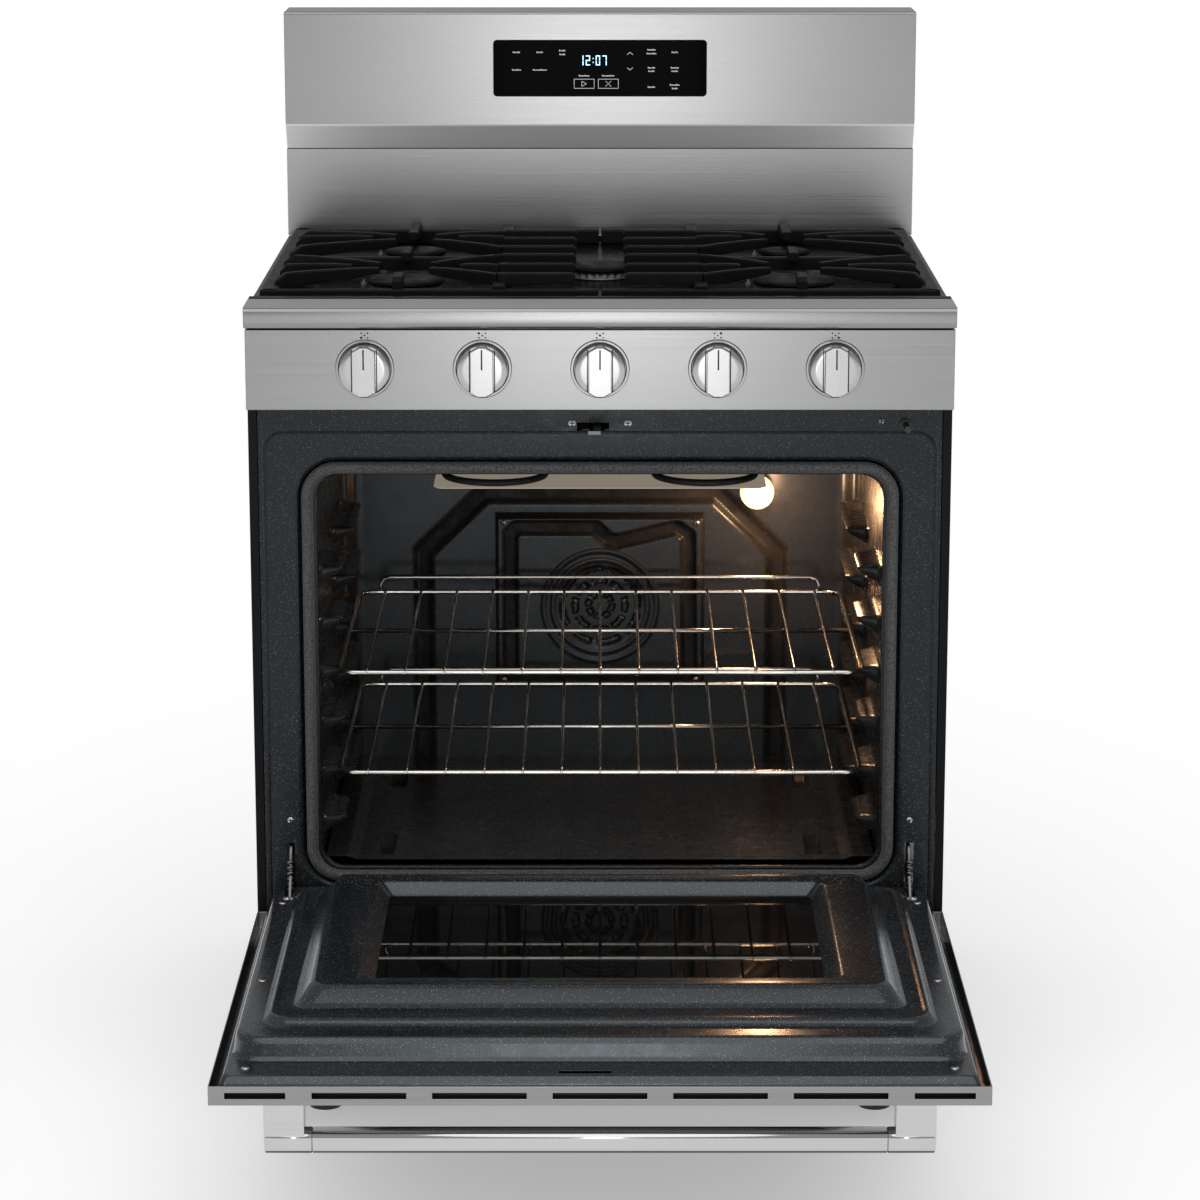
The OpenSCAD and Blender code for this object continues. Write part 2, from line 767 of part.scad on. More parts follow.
module riser_panel() placed() color("silver") {
    block([-half_w - 0.5, half_w + 0.5], [riser_y, riser_y + sheet], [cooktop_z, riser_top_z]);
    both_sides() block([half_w + 0.5 - sheet, half_w + 0.5], [riser_y, body_depth],
        [cooktop_z, riser_top_z]);
    block([-half_w, half_w], [body_depth - sheet, body_depth], [cooktop_z, riser_top_z]);
}

module console_section(inset) {
    polygon([
        [riser_y + inset, riser_top_z + 1 + inset],
        [console_y + inset, bevel_top_z + inset],
        [console_y + inset, console_top_z - 2 - inset],
        [console_y + 2 + inset, console_top_z - inset],
        [body_depth - inset, console_top_z - inset],
        [body_depth - inset, riser_top_z + 1 + inset]
    ]);
}

module console_shell() placed() color("silver") difference() {
    union() {
        along_x(-half_w, body_w) difference() {
            console_section(0);
            console_section(sheet);
        }
        both_sides() along_x(half_w - sheet, sheet) console_section(0);
    }
    along_y(console_y - 2, 5) round_rect([-display_w / 2, display_w / 2], display_z, 5);
}

module display_glass() placed() color("black")
    along_y(display_front_y, 3) round_rect([-display_w / 2 + 0.2, display_w / 2 - 0.2],
        [display_z[0] + 0.2, display_z[1] - 0.2], 4.8);

module control_board() placed() color("darkgreen") {
    block([-115, 115], [console_y + 16, console_y + 17.6], [1078, 1158]);
    block([-40, 10], [console_y + 4, console_y + 16], [1104, 1134]);
    block([40, 100], [console_y + 17.6, console_y + 40], [1090, 1130]);
}

// ---- storage drawer ----

module drawer_front() placed() color("silver") difference() {
    along_y(drawer_front_y, drawer_front_d) {
        round_rect([-drawer_half_w, drawer_half_w], [drawer_bottom_z, drawer_top_z - 20], 12);
        translate([-drawer_half_w, drawer_bottom_z + 30])
            square([2 * drawer_half_w, drawer_top_z - drawer_bottom_z - 30]);
    }
    block([-drawer_half_w + 14, drawer_half_w - 14],
        [drawer_front_y + sheet, drawer_front_y + drawer_front_d + 1],
        [drawer_bottom_z + 12, drawer_top_z - sheet]);
}

module drawer_box() placed() color("dimgray") {
    y0 = drawer_front_y + drawer_front_d;
    w = drawer_box_half_w;
    difference() {
        block([-w, w], [y0, y0 + drawer_depth], drawer_box_z);
        block([-w + sheet, w - sheet], [y0 + sheet, y0 + drawer_depth - sheet],
            [drawer_box_z[0] + sheet, drawer_box_z[1] + 1]);
    }
    both_sides() block([w, guide_x[1] - 4], [y0 + 50, y0 + drawer_depth],
        [guide_z[0] + 4, guide_z[1] - 4]);
}

module drawer_guides() placed() color("silver") both_sides() {
    difference() {
        block(guide_x, [8, 560], guide_z);
        block([guide_x[0] - 1, guide_x[1] - 1.5], [0, 570], [guide_z[0] + 1.5, guide_z[1] - 1.5]);
    }
    for (y = [40, 500]) block([guide_x[1], half_w - sheet], [y, y + 40], guide_z);
}

// ---- services ----

module gas_regulator() placed() color("goldenrod") difference() {
    union() {
        rod_z(regulator_x, gas_riser_y, [regulator_z - 24, regulator_z + 24], 29);
        rod_y(regulator_x, [gas_riser_y, body_depth - 4], regulator_z, 14);
    }
    rod_y(regulator_x, [body_depth - 4 - gas_thread_l, body_depth], regulator_z, gas_thread_r);
}

module power_inlet() placed() color("black") difference() {
    union() {
        rod_y(cord_inlet_x, [body_depth - 12, body_depth], cord_inlet_z, cord_neck_r - 0.1);
        rod_y(cord_inlet_x, [body_depth - 12, body_depth - 2.1], cord_inlet_z, 14);
    }
    rod_y(cord_inlet_x, [body_depth - 20, body_depth + 5], cord_inlet_z, cord_hole_r);
}

side_panels();
rear_cover();
base_frame();
levelling_feet();
oven_front_frame();
door_gasket();
cavity_side_walls();
cavity_ceiling();
cavity_rear_wall();
cavity_floor();
oven_bottom_panel();
fan_cover();
convection_fan();
fan_motor();
bake_burner();
broil_burner();
oven_lamp();
temperature_sensor();
oven_insulation();
rack_upper();
rack_lower();
latch_hook();
door_switch_button();
door_skin();
door_outer_glass();
door_liner();
door_window_glass();
handle_bar();
handle_ends();
hinge_channels();
hinge_pins();
hinge_arms();
cooktop_pan();
burner_heads();
burner_caps();
grate_left();
grate_right();
gas_manifold();
burner_valves();
control_panel();
front_trim();
valve_stem_1();
valve_stem_2();
valve_stem_3();
valve_stem_4();
valve_stem_5();
knob_1();
knob_2();
knob_3();
knob_4();
knob_5();
riser_panel();
console_shell();
display_glass();
control_board();
drawer_front();
drawer_box();
drawer_guides();
gas_regulator();
power_inlet();
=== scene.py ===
"""Looks of the freestanding gas range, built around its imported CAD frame."""
import json
import math

import bmesh
import bpy
import numpy as np
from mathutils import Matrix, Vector

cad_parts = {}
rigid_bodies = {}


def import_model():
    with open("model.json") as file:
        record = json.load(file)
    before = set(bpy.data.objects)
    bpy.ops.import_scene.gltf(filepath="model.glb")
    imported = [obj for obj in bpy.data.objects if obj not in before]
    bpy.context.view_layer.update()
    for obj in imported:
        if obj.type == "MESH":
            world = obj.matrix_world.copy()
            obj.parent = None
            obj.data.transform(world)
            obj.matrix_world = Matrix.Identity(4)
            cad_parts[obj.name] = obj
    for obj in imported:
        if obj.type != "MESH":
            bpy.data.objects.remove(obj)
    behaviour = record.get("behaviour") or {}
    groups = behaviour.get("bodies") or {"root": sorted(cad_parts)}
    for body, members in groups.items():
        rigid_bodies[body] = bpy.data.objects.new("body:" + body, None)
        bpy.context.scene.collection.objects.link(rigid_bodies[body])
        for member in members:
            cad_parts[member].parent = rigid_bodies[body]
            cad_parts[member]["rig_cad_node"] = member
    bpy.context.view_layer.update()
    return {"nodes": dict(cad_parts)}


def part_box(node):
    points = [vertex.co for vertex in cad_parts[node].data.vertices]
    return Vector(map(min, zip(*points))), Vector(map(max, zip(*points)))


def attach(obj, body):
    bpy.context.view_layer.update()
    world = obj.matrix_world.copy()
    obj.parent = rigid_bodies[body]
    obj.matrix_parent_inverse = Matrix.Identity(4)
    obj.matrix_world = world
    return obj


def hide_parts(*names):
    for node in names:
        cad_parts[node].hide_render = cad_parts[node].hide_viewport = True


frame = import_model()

nodes = frame["nodes"]
MM = 0.001
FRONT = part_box("oven_front_frame")[0].y      # the oven front frame's face
RANGE = "range_body"
DOOR = "oven_door"


def at(x, y, z):
    """A point given in millimetres, with y counted from the oven front frame's face."""
    return Vector((x * MM, FRONT + y * MM, z * MM))


# ---- materials

class Shader:
    """A short way to build a node material around one Principled shader."""

    def __init__(self, name, **values):
        self.material = bpy.data.materials.new(name)
        self.material.use_nodes = True
        self.tree = self.material.node_tree
        self.surface = self.tree.nodes["Principled BSDF"]
        for socket, value in values.items():
            self.surface.inputs[socket.replace("_", " ")].default_value = value

    def add(self, kind, links=(), **settings):
        node = self.tree.nodes.new(kind)
        for key, value in settings.items():
            if key in node.inputs:
                node.inputs[key].default_value = value
            else:
                setattr(node, key, value)
        for socket, source in links:
            self.tree.links.new(source, node.inputs[socket])
        return node

    def place(self, scale=(1, 1, 1)):
        """Object coordinates, stretched by scale."""
        where = self.add("ShaderNodeTexCoord").outputs["Object"]
        mapping = self.add("ShaderNodeMapping", [("Vector", where)])
        mapping.inputs["Scale"].default_value = scale
        return mapping.outputs["Vector"]

    def noise(self, where, scale, detail=3.0, roughness=0.5):
        return self.add("ShaderNodeTexNoise", [("Vector", where)], Scale=scale,
                        Detail=detail, Roughness=roughness).outputs["Fac"]

    def ramp(self, value, low, high, start=0.3, end=0.7):
        """Maps value from start..end to low..high."""
        node = self.add("ShaderNodeMapRange", [("Value", value)])
        for key, number in (("From Min", start), ("From Max", end),
                            ("To Min", low), ("To Max", high)):
            node.inputs[key].default_value = number
        return node.outputs["Result"]

    def mix(self, factor, low, high):
        node = self.add("ShaderNodeMix", data_type="RGBA")
        for index, colour in ((6, low), (7, high)):
            if isinstance(colour, tuple):
                node.inputs[index].default_value = (*colour, 1)
            else:
                self.tree.links.new(colour, node.inputs[index])
        self.tree.links.new(factor, node.inputs[0])
        return node.outputs[2]

    def use(self, socket, source):
        self.tree.links.new(source, self.surface.inputs[socket])

    def bump(self, height, strength, distance=0.001):
        node = self.add("ShaderNodeBump", [("Height", height)],
                        Strength=strength, Distance=distance)
        self.use("Normal", node.outputs["Normal"])


def grey(level, tint=(1, 1, 1)):
    return tuple(level * t for t in tint)


def brushed_metal(name, level, roughness, grain=(3, 900, 900), bump=0.02, metallic=1.0):
    """Metal with fine straight brush lines along the axis whose grain is small."""
    s = Shader(name, Metallic=metallic)
    lines = s.noise(s.place(grain), 1.0, 4.0, 0.6)
    clouds = s.noise(s.place((3, 3, 3)), 1.0, 2.0)
    tone = s.mix(s.ramp(lines, 0, 1), grey(level * 0.93), grey(level * 1.05))
    s.use("Base Color", s.mix(s.ramp(clouds, 0, 0.25), tone, grey(level * 0.9)))
    s.use("Roughness", s.ramp(lines, roughness * 0.85, roughness * 1.15))
    s.bump(lines, bump, 0.0003)
    return s.material


def speckled_enamel(name, level, roughness, specks, shine, tint=(0.78, 0.92, 1.08)):
    """Dark porcelain enamel with small pale specks and a faint orange peel."""
    s = Shader(name, Specular_IOR_Level=shine, Specular_Tint=(0.86, 0.95, 1.0, 1.0))
    where = s.place()
    cells_per_metre, dust_per_metre = 560.0, 900.0
    cells = s.add("ShaderNodeTexVoronoi", [("Vector", where)], Scale=cells_per_metre)
    near = s.ramp(cells.outputs["Distance"], 1, 0, 0.10, 0.30)
    split = s.add("ShaderNodeSeparateColor", [("Color", cells.outputs["Color"])])
    chosen = s.ramp(split.outputs["Red"], 0, 1, 0.42, 0.98)
    both = s.add("ShaderNodeMath", [(0, near), (1, chosen)], operation="MULTIPLY")
    dust = s.ramp(s.noise(where, dust_per_metre, 2.0), 0, 0.10, 0.58, 0.72)
    total = s.add("ShaderNodeMath", [(0, both.outputs[0]), (1, dust)], operation="ADD",
                  use_clamp=True)
    ground = s.mix(s.ramp(s.noise(where, 14.0), 0, 1), grey(level * 0.85, tint),
                   grey(level * 1.15, tint))
    strength = s.add("ShaderNodeMath", [(0, total.outputs[0])], operation="MULTIPLY")
    strength.inputs[1].default_value = specks
    s.use("Base Color", s.mix(strength.outputs[0], ground, (0.62, 0.66, 0.70)))
    s.use("Roughness", s.ramp(s.noise(where, 60.0), roughness * 0.85, roughness * 1.2))
    s.bump(s.noise(where, 260.0, 2.0), 0.05, 0.0006)
    return s.material


def plain_enamel(name, colour, roughness, coat=0.3, shine=0.5):
    s = Shader(name, Specular_IOR_Level=shine, Coat_Weight=coat, Coat_Roughness=0.08)
    where = s.place()
    s.use("Base Color", s.mix(s.ramp(s.noise(where, 22.0), 0, 1),
                              tuple(0.8 * c for c in colour), tuple(1.2 * c for c in colour)))
    s.use("Roughness", s.ramp(s.noise(where, 70.0), roughness * 0.8, roughness * 1.25))
    s.bump(s.noise(where, 320.0, 2.0), 0.05, 0.0005)
    return s.material


def cast_iron():
    s = Shader("cast_iron_black", Specular_IOR_Level=0.10)
    where = s.place()
    grain = s.noise(where, 900.0, 5.0, 0.65)
    s.use("Base Color", s.mix(s.ramp(grain, 0, 1), grey(0.003), grey(0.009)))
    s.use("Roughness", s.ramp(s.noise(where, 120.0), 0.36, 0.52))
    s.bump(grain, 0.25, 0.0005)
    return s.material


def chrome(name, colour=(0.78, 0.76, 0.72), roughness=0.16):
    s = Shader(name, Metallic=1.0)
    where = s.place()
    wear = s.noise(where, 45.0, 4.0)
    s.use("Base Color", s.mix(s.ramp(wear, 0, 1), tuple(0.85 * c for c in colour), colour))
    s.use("Roughness", s.ramp(s.noise(where, 200.0), roughness * 0.7, roughness * 1.5))
    return s.material


def woven_rope():
    s = Shader("gasket_rope", Sheen_Weight=0.25, Sheen_Roughness=0.4)
    where = s.place()
    braid = s.add("ShaderNodeTexVoronoi", [("Vector", where)], Scale=520.0)
    height = braid.outputs["Distance"]
    s.use("Base Color", s.mix(s.ramp(height, 0, 1, 0.1, 0.7), grey(0.085), grey(0.030)))
    s.use("Roughness", s.ramp(height, 0.55, 0.8))
    s.bump(height, 0.12, 0.0003)
    return s.material


def gloss_glass(name, level, roughness, shine):
    s = Shader(name, Specular_IOR_Level=shine)
    haze = s.noise(s.place(), 9.0)
    s.use("Base Color", s.mix(s.ramp(haze, 0, 1), grey(level), grey(level * 1.3)))
    s.use("Roughness", s.ramp(haze, roughness * 0.8, roughness * 1.4))
    return s.material


def glowing(name, colour, strength, base=(0.1, 0.1, 0.1)):
    s = Shader(name, Roughness=0.3)
    s.surface.inputs["Base Color"].default_value = (*base, 1)
    s.surface.inputs["Emission Color"].default_value = (*colour, 1)
    s.surface.inputs["Emission Strength"].default_value = strength
    return s.material


def moulded_plastic(name, level, roughness=0.5):
    s = Shader(name)
    where = s.place()
    grain = s.noise(where, 1400.0, 2.0)
    s.use("Base Color", s.mix(s.ramp(grain, 0, 1), grey(level * 0.85), grey(level * 1.15)))
    s.use("Roughness", s.ramp(grain, roughness * 0.85, roughness * 1.15))
    s.bump(grain, 0.15, 0.0003)
    return s.material


def zinc_sheet():
    s = Shader("galvanised_sheet", Metallic=1.0)
    where = s.place()
    flakes = s.add("ShaderNodeTexVoronoi", [("Vector", where)], Scale=90.0)
    split = s.add("ShaderNodeSeparateColor", [("Color", flakes.outputs["Color"])])
    s.use("Base Color", s.mix(split.outputs["Red"], grey(0.40), grey(0.50)))
    s.use("Roughness", s.ramp(split.outputs["Green"], 0.32, 0.48, 0, 1))
    return s.material


def wool():
    s = Shader("insulation_wool", Roughness=0.95)
    fibres = s.noise(s.place((200, 60, 500)), 1.0, 5.0)
    s.use("Base Color", s.mix(s.ramp(fibres, 0, 1), (0.36, 0.30, 0.16), (0.62, 0.54, 0.34)))
    s.bump(fibres, 0.6, 0.002)
    return s.material


def board_green():
    s = Shader("circuit_board", Roughness=0.4)
    tracks = s.add("ShaderNodeTexBrick", [("Vector", s.place())], Scale=120.0)
    s.use("Base Color", s.mix(tracks.outputs["Fac"], (0.01, 0.12, 0.04), (0.02, 0.22, 0.08)))
    return s.material


STAINLESS = brushed_metal("brushed_stainless", 0.28, 0.21)
# A separately toned copy of the stainless for the riser, its brightness and blur set for how
# light falls there: painted light.
RISER_STEEL_PAINTED_LIGHT = brushed_metal("riser_stainless_painted_light", 0.36, 0.30, (1.5, 1600, 1600), 0.004)
# A brighter, duller copy of the stainless for the console's bevel: painted highlight.
BEVEL_STEEL_PAINTED_HIGHLIGHT = brushed_metal("bevel_stainless_painted_highlight", 0.80, 0.60, metallic=0.3)
# A copy of the stainless for the trim's upward faces, toned for the light from above: painted
# light.
TRIM_TOP_PAINTED_LIGHT = brushed_metal("trim_top_stainless_painted_light", 0.38, 0.50, metallic=0.3)
# A darker copy of the stainless for the drawer front: painted shade from the open door above.
DRAWER_STEEL_PAINTED_SHADE = brushed_metal("drawer_stainless_painted_shade", 0.13, 0.28)
POLISHED = brushed_metal("polished_steel", 0.54, 0.12, (3, 1200, 1200), 0.005)
# Darker copy of the polished steel: painted shade on the handle bar's lower front edge.
HANDLE_EDGE_PAINTED_SHADE = brushed_metal("handle_edge_painted_shade", 0.10, 0.16, (3, 1200, 1200), 0.005)
KNOB_FACE = brushed_metal("knob_steel", 0.44, 0.20, (900, 900, 3), 0.01)
HARDWARE = brushed_metal("steel_hardware", 0.55, 0.34, (60, 60, 60), 0.02)
HINGE_STEEL = brushed_metal("hinge_steel", 0.15, 0.30, (60, 60, 60), 0.02)
ALUMINIUM = brushed_metal("cast_aluminium", 0.16, 0.5, (300, 300, 300), 0.05)
BRASS = chrome("brass_fittings", (0.60, 0.42, 0.16), 0.3)
ENAMEL = speckled_enamel("speckled_porcelain", 0.009, 0.22, 0.34, 0.26)
LINER_ENAMEL = speckled_enamel("liner_porcelain", 0.011, 0.20, 0.55, 0.75)
CAVITY = speckled_enamel("cavity_porcelain", 0.016, 0.26, 0.16, 0.36, (0.96, 0.98, 1.0))
PAN = plain_enamel("cooktop_porcelain", (0.003, 0.003, 0.0033), 0.22, 0.0, 0.03)
CAPS = plain_enamel("burner_cap_enamel", (0.003, 0.003, 0.003), 0.45, 0.0, 0.06)
PANEL_PAINT = plain_enamel("side_panel_paint", (0.0035, 0.0035, 0.004), 0.30, 0.0, 0.1)
IRON = cast_iron()
WIRE = chrome("chrome_wire", (0.68, 0.66, 0.62), 0.18)
ROPE = woven_rope()
DISPLAY = gloss_glass("display_black_glass", 0.0015, 0.05, 0.008)
WINDOW = gloss_glass("window_dark_glass", 0.003, 0.02, 0.3)
DIGITS = glowing("clock_digits", (0.42, 0.74, 1.0), 2.2)
# Pale print that glows faintly: the print's colour is real, its glow is painted light.
MARKS = glowing("panel_marks", (0.9, 0.92, 0.95), 0.45, (0.4, 0.4, 0.4))
BULB = glowing("lamp_glow", (1.0, 0.62, 0.24), 2.6, (1.0, 0.8, 0.5))
INK = moulded_plastic("black_ink", 0.006, 0.5)
PLASTIC = moulded_plastic("black_plastic", 0.018)
ZINC = zinc_sheet()
WOOL = wool()
BOARD = board_green()
# Near-black: painted shade in the screw recesses, behind the door's vent slots, beside the knob
# grips and along the pressed channels; also the broil loops' own dark colour.
DARK = plain_enamel("painted_shade_and_burner_black", (0.002, 0.002, 0.002), 0.7, 0.0)


# ---- mesh helpers

def linked(name, data):
    """A new object in the scene."""
    obj = bpy.data.objects.new(name, data)
    bpy.context.scene.collection.objects.link(obj)
    return obj


def piece(name, mesh, material, body, replaces=(), smooth=True):
    """A finished piece that rides on a body and, if asked, stands for CAD nodes."""
    obj = linked(name, mesh)
    for m in material if isinstance(material, list) else [material]:
        mesh.materials.append(m)
    if smooth:
        mesh.shade_smooth()
    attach(obj, body)
    if replaces:
        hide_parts(*replaces)
    return obj


def mesh_from(name, verts, faces):
    mesh = bpy.data.meshes.new(name)
    mesh.from_pydata([tuple(v) for v in verts], [], faces)
    mesh.validate()
    bm = bmesh.new()
    bm.from_mesh(mesh)
    bmesh.ops.remove_doubles(bm, verts=bm.verts, dist=1e-6)
    bmesh.ops.recalc_face_normals(bm, faces=bm.faces)
    bm.to_mesh(mesh)
    bm.free()
    return mesh


def joined(name, parts):
    """One mesh from several (verts, faces) pairs."""
    verts, faces = [], []
    for part_verts, part_faces in parts:
        start = len(verts)
        verts += [tuple(v) for v in part_verts]
        faces += [tuple(i + start for i in f) for f in part_faces]
    return mesh_from(name, verts, faces)


def loft(loops, close_start=False, close_end=False):
    """Faces between closed loops that have the same number of points."""
    n = len(loops[0])
    verts = [p for loop in loops for p in loop]
    faces = []
    for k in range(len(loops) - 1):
        for i in range(n):
            j = (i + 1) % n
            faces.append((k * n + i, k * n + j, (k + 1) * n + j, (k + 1) * n + i))
    if close_start:
        faces.append(tuple(range(n)))
    if close_end:
        faces.append(tuple(range((len(loops) - 1) * n, len(loops) * n)))
    return verts, faces


def rounded(x0, x1, y0, y1, r, steps=8, cuts=10):
    """Points of a rounded rectangle, each straight side cut into equal stretches."""
    points = []
    centres = [(x1 - r, y0 + r, -90), (x1 - r, y1 - r, 0), (x0 + r, y1 - r, 90),
               (x0 + r, y0 + r, 180)]
    for index, (cx, cy, start) in enumerate(centres):
        arc = [(cx + r * math.cos(math.radians(start + 90 * k / steps)),
                cy + r * math.sin(math.radians(start + 90 * k / steps)))
               for k in range(steps + 1)]
        points += arc
        nx, ny, nstart = centres[(index + 1) % 4]
        end = (nx + r * math.cos(math.radians(nstart)), ny + r * math.sin(math.radians(nstart)))
        for k in range(1, cuts):
            points.append((arc[-1][0] + (end[0] - arc[-1][0]) * k / cuts,
                           arc[-1][1] + (end[1] - arc[-1][1]) * k / cuts))
    return points


def tube(points, radius, sides=10, closed=False):
    """A round rod along a list of points; radius may be a list."""
    pts = [Vector(p) for p in points]
    count = len(pts)
    loops = []
    side = None
    for i, p in enumerate(pts):
        before = pts[i - 1] if i or closed else p
        after = pts[(i + 1) % count] if i < count - 1 or closed else p
        along = (after - before).normalized()
        if side is None:
            side = along.orthogonal().normalized()
        side = (side - along * side.dot(along)).normalized()
        up = along.cross(side)
        r = radius[i] if isinstance(radius, list) else radius
        loops.append([p + (side * math.cos(a) + up * math.sin(a)) * r
                      for a in (2 * math.pi * k / sides for k in range(sides))])
    if closed:
        loops.append(loops[0])
        return loft(loops)
    return loft(loops, True, True)


def lathe(profile, centre, axis="z", sides=48, sign=1):
    """A turned shape: profile holds (radius, height) along the axis."""
    loops = []
    for r, h in profile:
        ring = []
        for k in range(sides):
            a = 2 * math.pi * k / sides
            u, v, w = r * math.cos(a) * MM, r * math.sin(a) * MM, sign * h * MM
            ring.append(centre + (Vector((u, v, w)) if axis == "z" else Vector((u, w, v))))
        loops.append(ring)
    return loft(loops, True, True)


def build(name, parts, material, replaces=(), body=RANGE, smooth=True):
    """A piece made of several (verts, faces) parts."""
    return piece(name, joined(name, parts), material, body, replaces, smooth)


def brick(x, y, z):
    """A plain block between corners given in millimetres, for slots, bars and marks."""
    verts = [at(i, j, k) for i in x for j in y for k in z]
    faces = [(0, 1, 3, 2), (4, 6, 7, 5), (0, 4, 5, 1), (2, 3, 7, 6), (0, 2, 6, 4), (1, 5, 7, 3)]
    return verts, faces


def soften(obj, width=0.8, segments=2, angle=35):
    """Rounds the sharp edges of a piece or CAD node by a width in millimetres."""
    if "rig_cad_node" in obj:
        weld = obj.modifiers.new("weld", "WELD")
        weld.merge_threshold = 1e-5
    bevel = obj.modifiers.new("bevel", "BEVEL")
    bevel.width = width * MM
    bevel.segments = segments
    bevel.limit_method = "ANGLE"
    bevel.angle_limit = math.radians(angle)
    bevel.harden_normals = True


def punch(mesh, holes):
    """Cuts rectangular holes in a sheet; each hole is a pair of opposite corners."""
    bm = bmesh.new()
    bm.from_mesh(mesh)
    for lo, hi in holes:
        sides = [k for k in range(3) if hi[k] - lo[k] < 0.2]
        for k in sides:
            for level, way in ((lo[k], -1), (hi[k], 1)):
                near = [f for f in bm.faces
                        if all(min(v.co[j] for v in f.verts) < hi[j] + 1e-6
                               and max(v.co[j] for v in f.verts) > lo[j] - 1e-6
                               for j in range(3))]
                parts = near + list(dict.fromkeys(e for f in near for e in f.edges)) \
                    + list(dict.fromkeys(v for f in near for v in f.verts))
                point, normal = Vector(), Vector()
                point[k], normal[k] = level, way
                bmesh.ops.bisect_plane(bm, geom=parts, plane_co=point, plane_no=normal,
                                       dist=1e-7)
        inside = [f for f in bm.faces
                  if all(lo[j] < f.calc_center_median()[j] < hi[j] for j in range(3))]
        bmesh.ops.delete(bm, geom=inside, context="FACES")
    bm.to_mesh(mesh)
    bm.free()


def sheet(obj, thickness, inward):
    """Gives a sheet a thickness on the side that inward points to."""
    total = sum(p.normal.dot(Vector(inward)) * p.area for p in obj.data.polygons)
    thick = obj.modifiers.new("sheet", "SOLIDIFY")
    thick.thickness = thickness * MM
    thick.offset = 1 if total > 0 else -1
    obj.modifiers.new("flat", "WEIGHTED_NORMAL").keep_sharp = True


def paint(material, *names, bevel=None):
    """Gives CAD nodes their material, and soft edges where asked."""
    for name in names:
        obj = nodes[name]
        if not obj.material_slots:
            obj.data.materials.append(material)
        for slot in obj.material_slots:
            slot.material = material
        if bevel:
            soften(obj, bevel)


def ease(t):
    """A smooth step from 0 to 1."""
    t = min(1.0, max(0.0, t))
    return t * t * (3 - 2 * t)


# ---- door

SIDES = ((-1, "left"), (1, "right"))
HINGE_SLOT_X = (336, 346)         # the hinge arms' slots, in the liner and the front frame


def door_liner():
    """The pressed inner sheet: each row is half width, front, rear, radius, height."""
    step = 273
    rows = [
        (369, -560.5, -6, 5, 240.6), (368.5, -560, -6, 6, 243), (366, -557.5, -6, 7, 248.6),
        (364.5, -556, -6, 8, 249.9), (363, -554, -6.2, 9, 250), (362.2, -519, -6.5, 30, 250.2),
        (361.6, -516.5, -6.8, 31, 251.4), (360.4, -514.5, -7.5, 31, 256),
        (359.2, -513, -8.5, 31, 266), (357.6, -510.5, -10.5, 30, 271.2),
        (355, -507.5, -13, 29, step), (351, -503, -16, 28, step + 0.3),
        (334.5, -480, -26, 24, step), (332.5, -477.5, -27.5, 23, step + 0.6),
        (330, -474, -29.5, 22, step + 3.4), (328, -471, -31, 21.5, step + 6.0),
        (326, -468, -32.5, 21, step + 6.6), (323.5, -465, -34, 20, step + 6.2),
        (321.5, -462, -35.5, 20, step + 5.5), (319, -459, -37, 20, step + 5),
        (306.5, -442, -44.5, 18, step + 5.2), (303.5, -438.5, -47.5, 17, step + 6.5),
        (300, -433.5, -50, 17, step + 10), (292, -421, -54, 16, step + 19.5),
        (288.5, -416.5, -56, 15, step + 22.2), (285, -412, -58, 14, step + 23),
        (280, -407, -62, 13, step + 23), (246, -396, -71, 11, step + 22.8),
        (240, -393, -73, 10, step + 22), (231, -384, -82, 7, step + 13.6),
        (228, -381, -85, 5, step + 12.2), (226, -379, -87, 4, step + 10),
    ]
    loops = []
    for half, front, rear, r, z in rows:
        loop = []
        for x, y in rounded(-half, half, front, rear, r, 10, 14):
            rib = 5.5 * ease((half - 200) / 60) if z > step + 20 and half > 240 else 0
            near_rear = ease((y + 78) / 14) * ease((290 - abs(x)) / 12)
            loop.append(at(x, y, z + rib * near_rear))
        loops.append(loop)
    mesh = mesh_from("door_liner", *loft(loops))
    slots = [(at(-40, -549, 236), at(11, -541, 256))]
    for side, _ in SIDES:
        x0, x1 = sorted(side * x for x in HINGE_SLOT_X)
        slots.append((at(x0, -66, 236), at(x1, 5, 300)))
    punch(mesh, slots)
    obj = piece("door_liner_pressing", mesh, LINER_ENAMEL, DOOR, ["door_liner"])
    sheet(obj, 1.0, (0, 0, -1))


def screw(name, x, y, z, axis, body, size=4.2, direction=1):
    """A pan-head screw with a cross recess; the recess is dark blocks of painted shade."""
    profile = [(size, 0), (size, 0.6), (size * 0.86, 1.4), (size * 0.5, 2.1), (0.05, 2.3)]
    build(name, [lathe(profile, at(x, y, z), axis, 20, direction)], HARDWARE,
          body=body)
    arm, half_slot, low, high = size * 0.62, 0.55, 1.5, 2.45
    cross = []
    for a, b in ((arm, half_slot), (half_slot, arm)):
        if axis == "z":
            cross.append(brick((x - a, x + a), (y - b, y + b), (z + low, z + high)))
        else:
            depth = sorted((y + direction * low, y + direction * high))
            cross.append(brick((x - a, x + a), depth, (z - b, z + b)))
    # the cross recess is drawn as dark blocks: painted shade
    build(name + "_recess", cross, DARK, body=body)


def door_details():
    screw_x = 345
    for side, tag in SIDES:
        for index, (y, z) in enumerate(((-536, 250), (-336, 272.4), (-72, 272.4))):
            screw(f"door_screw_{tag}_{index + 1}", side * screw_x, y, z, "z", DOOR)
    paint(STAINLESS, "door_skin", bevel=0.5)
    paint(DISPLAY, "door_outer_glass", bevel=0.4)
    paint(WINDOW, "door_window_glass")
    paint(ZINC, "hinge_channels")
    paint(HARDWARE, "hinge_pins")
    # painted shade: a dark sheet behind the vent slots, standing for the shade inside the door
    build("vent_slot_painted_shade", [brick((-372, 372), (-556, -555), (223.5, 239))], DARK, body=DOOR)


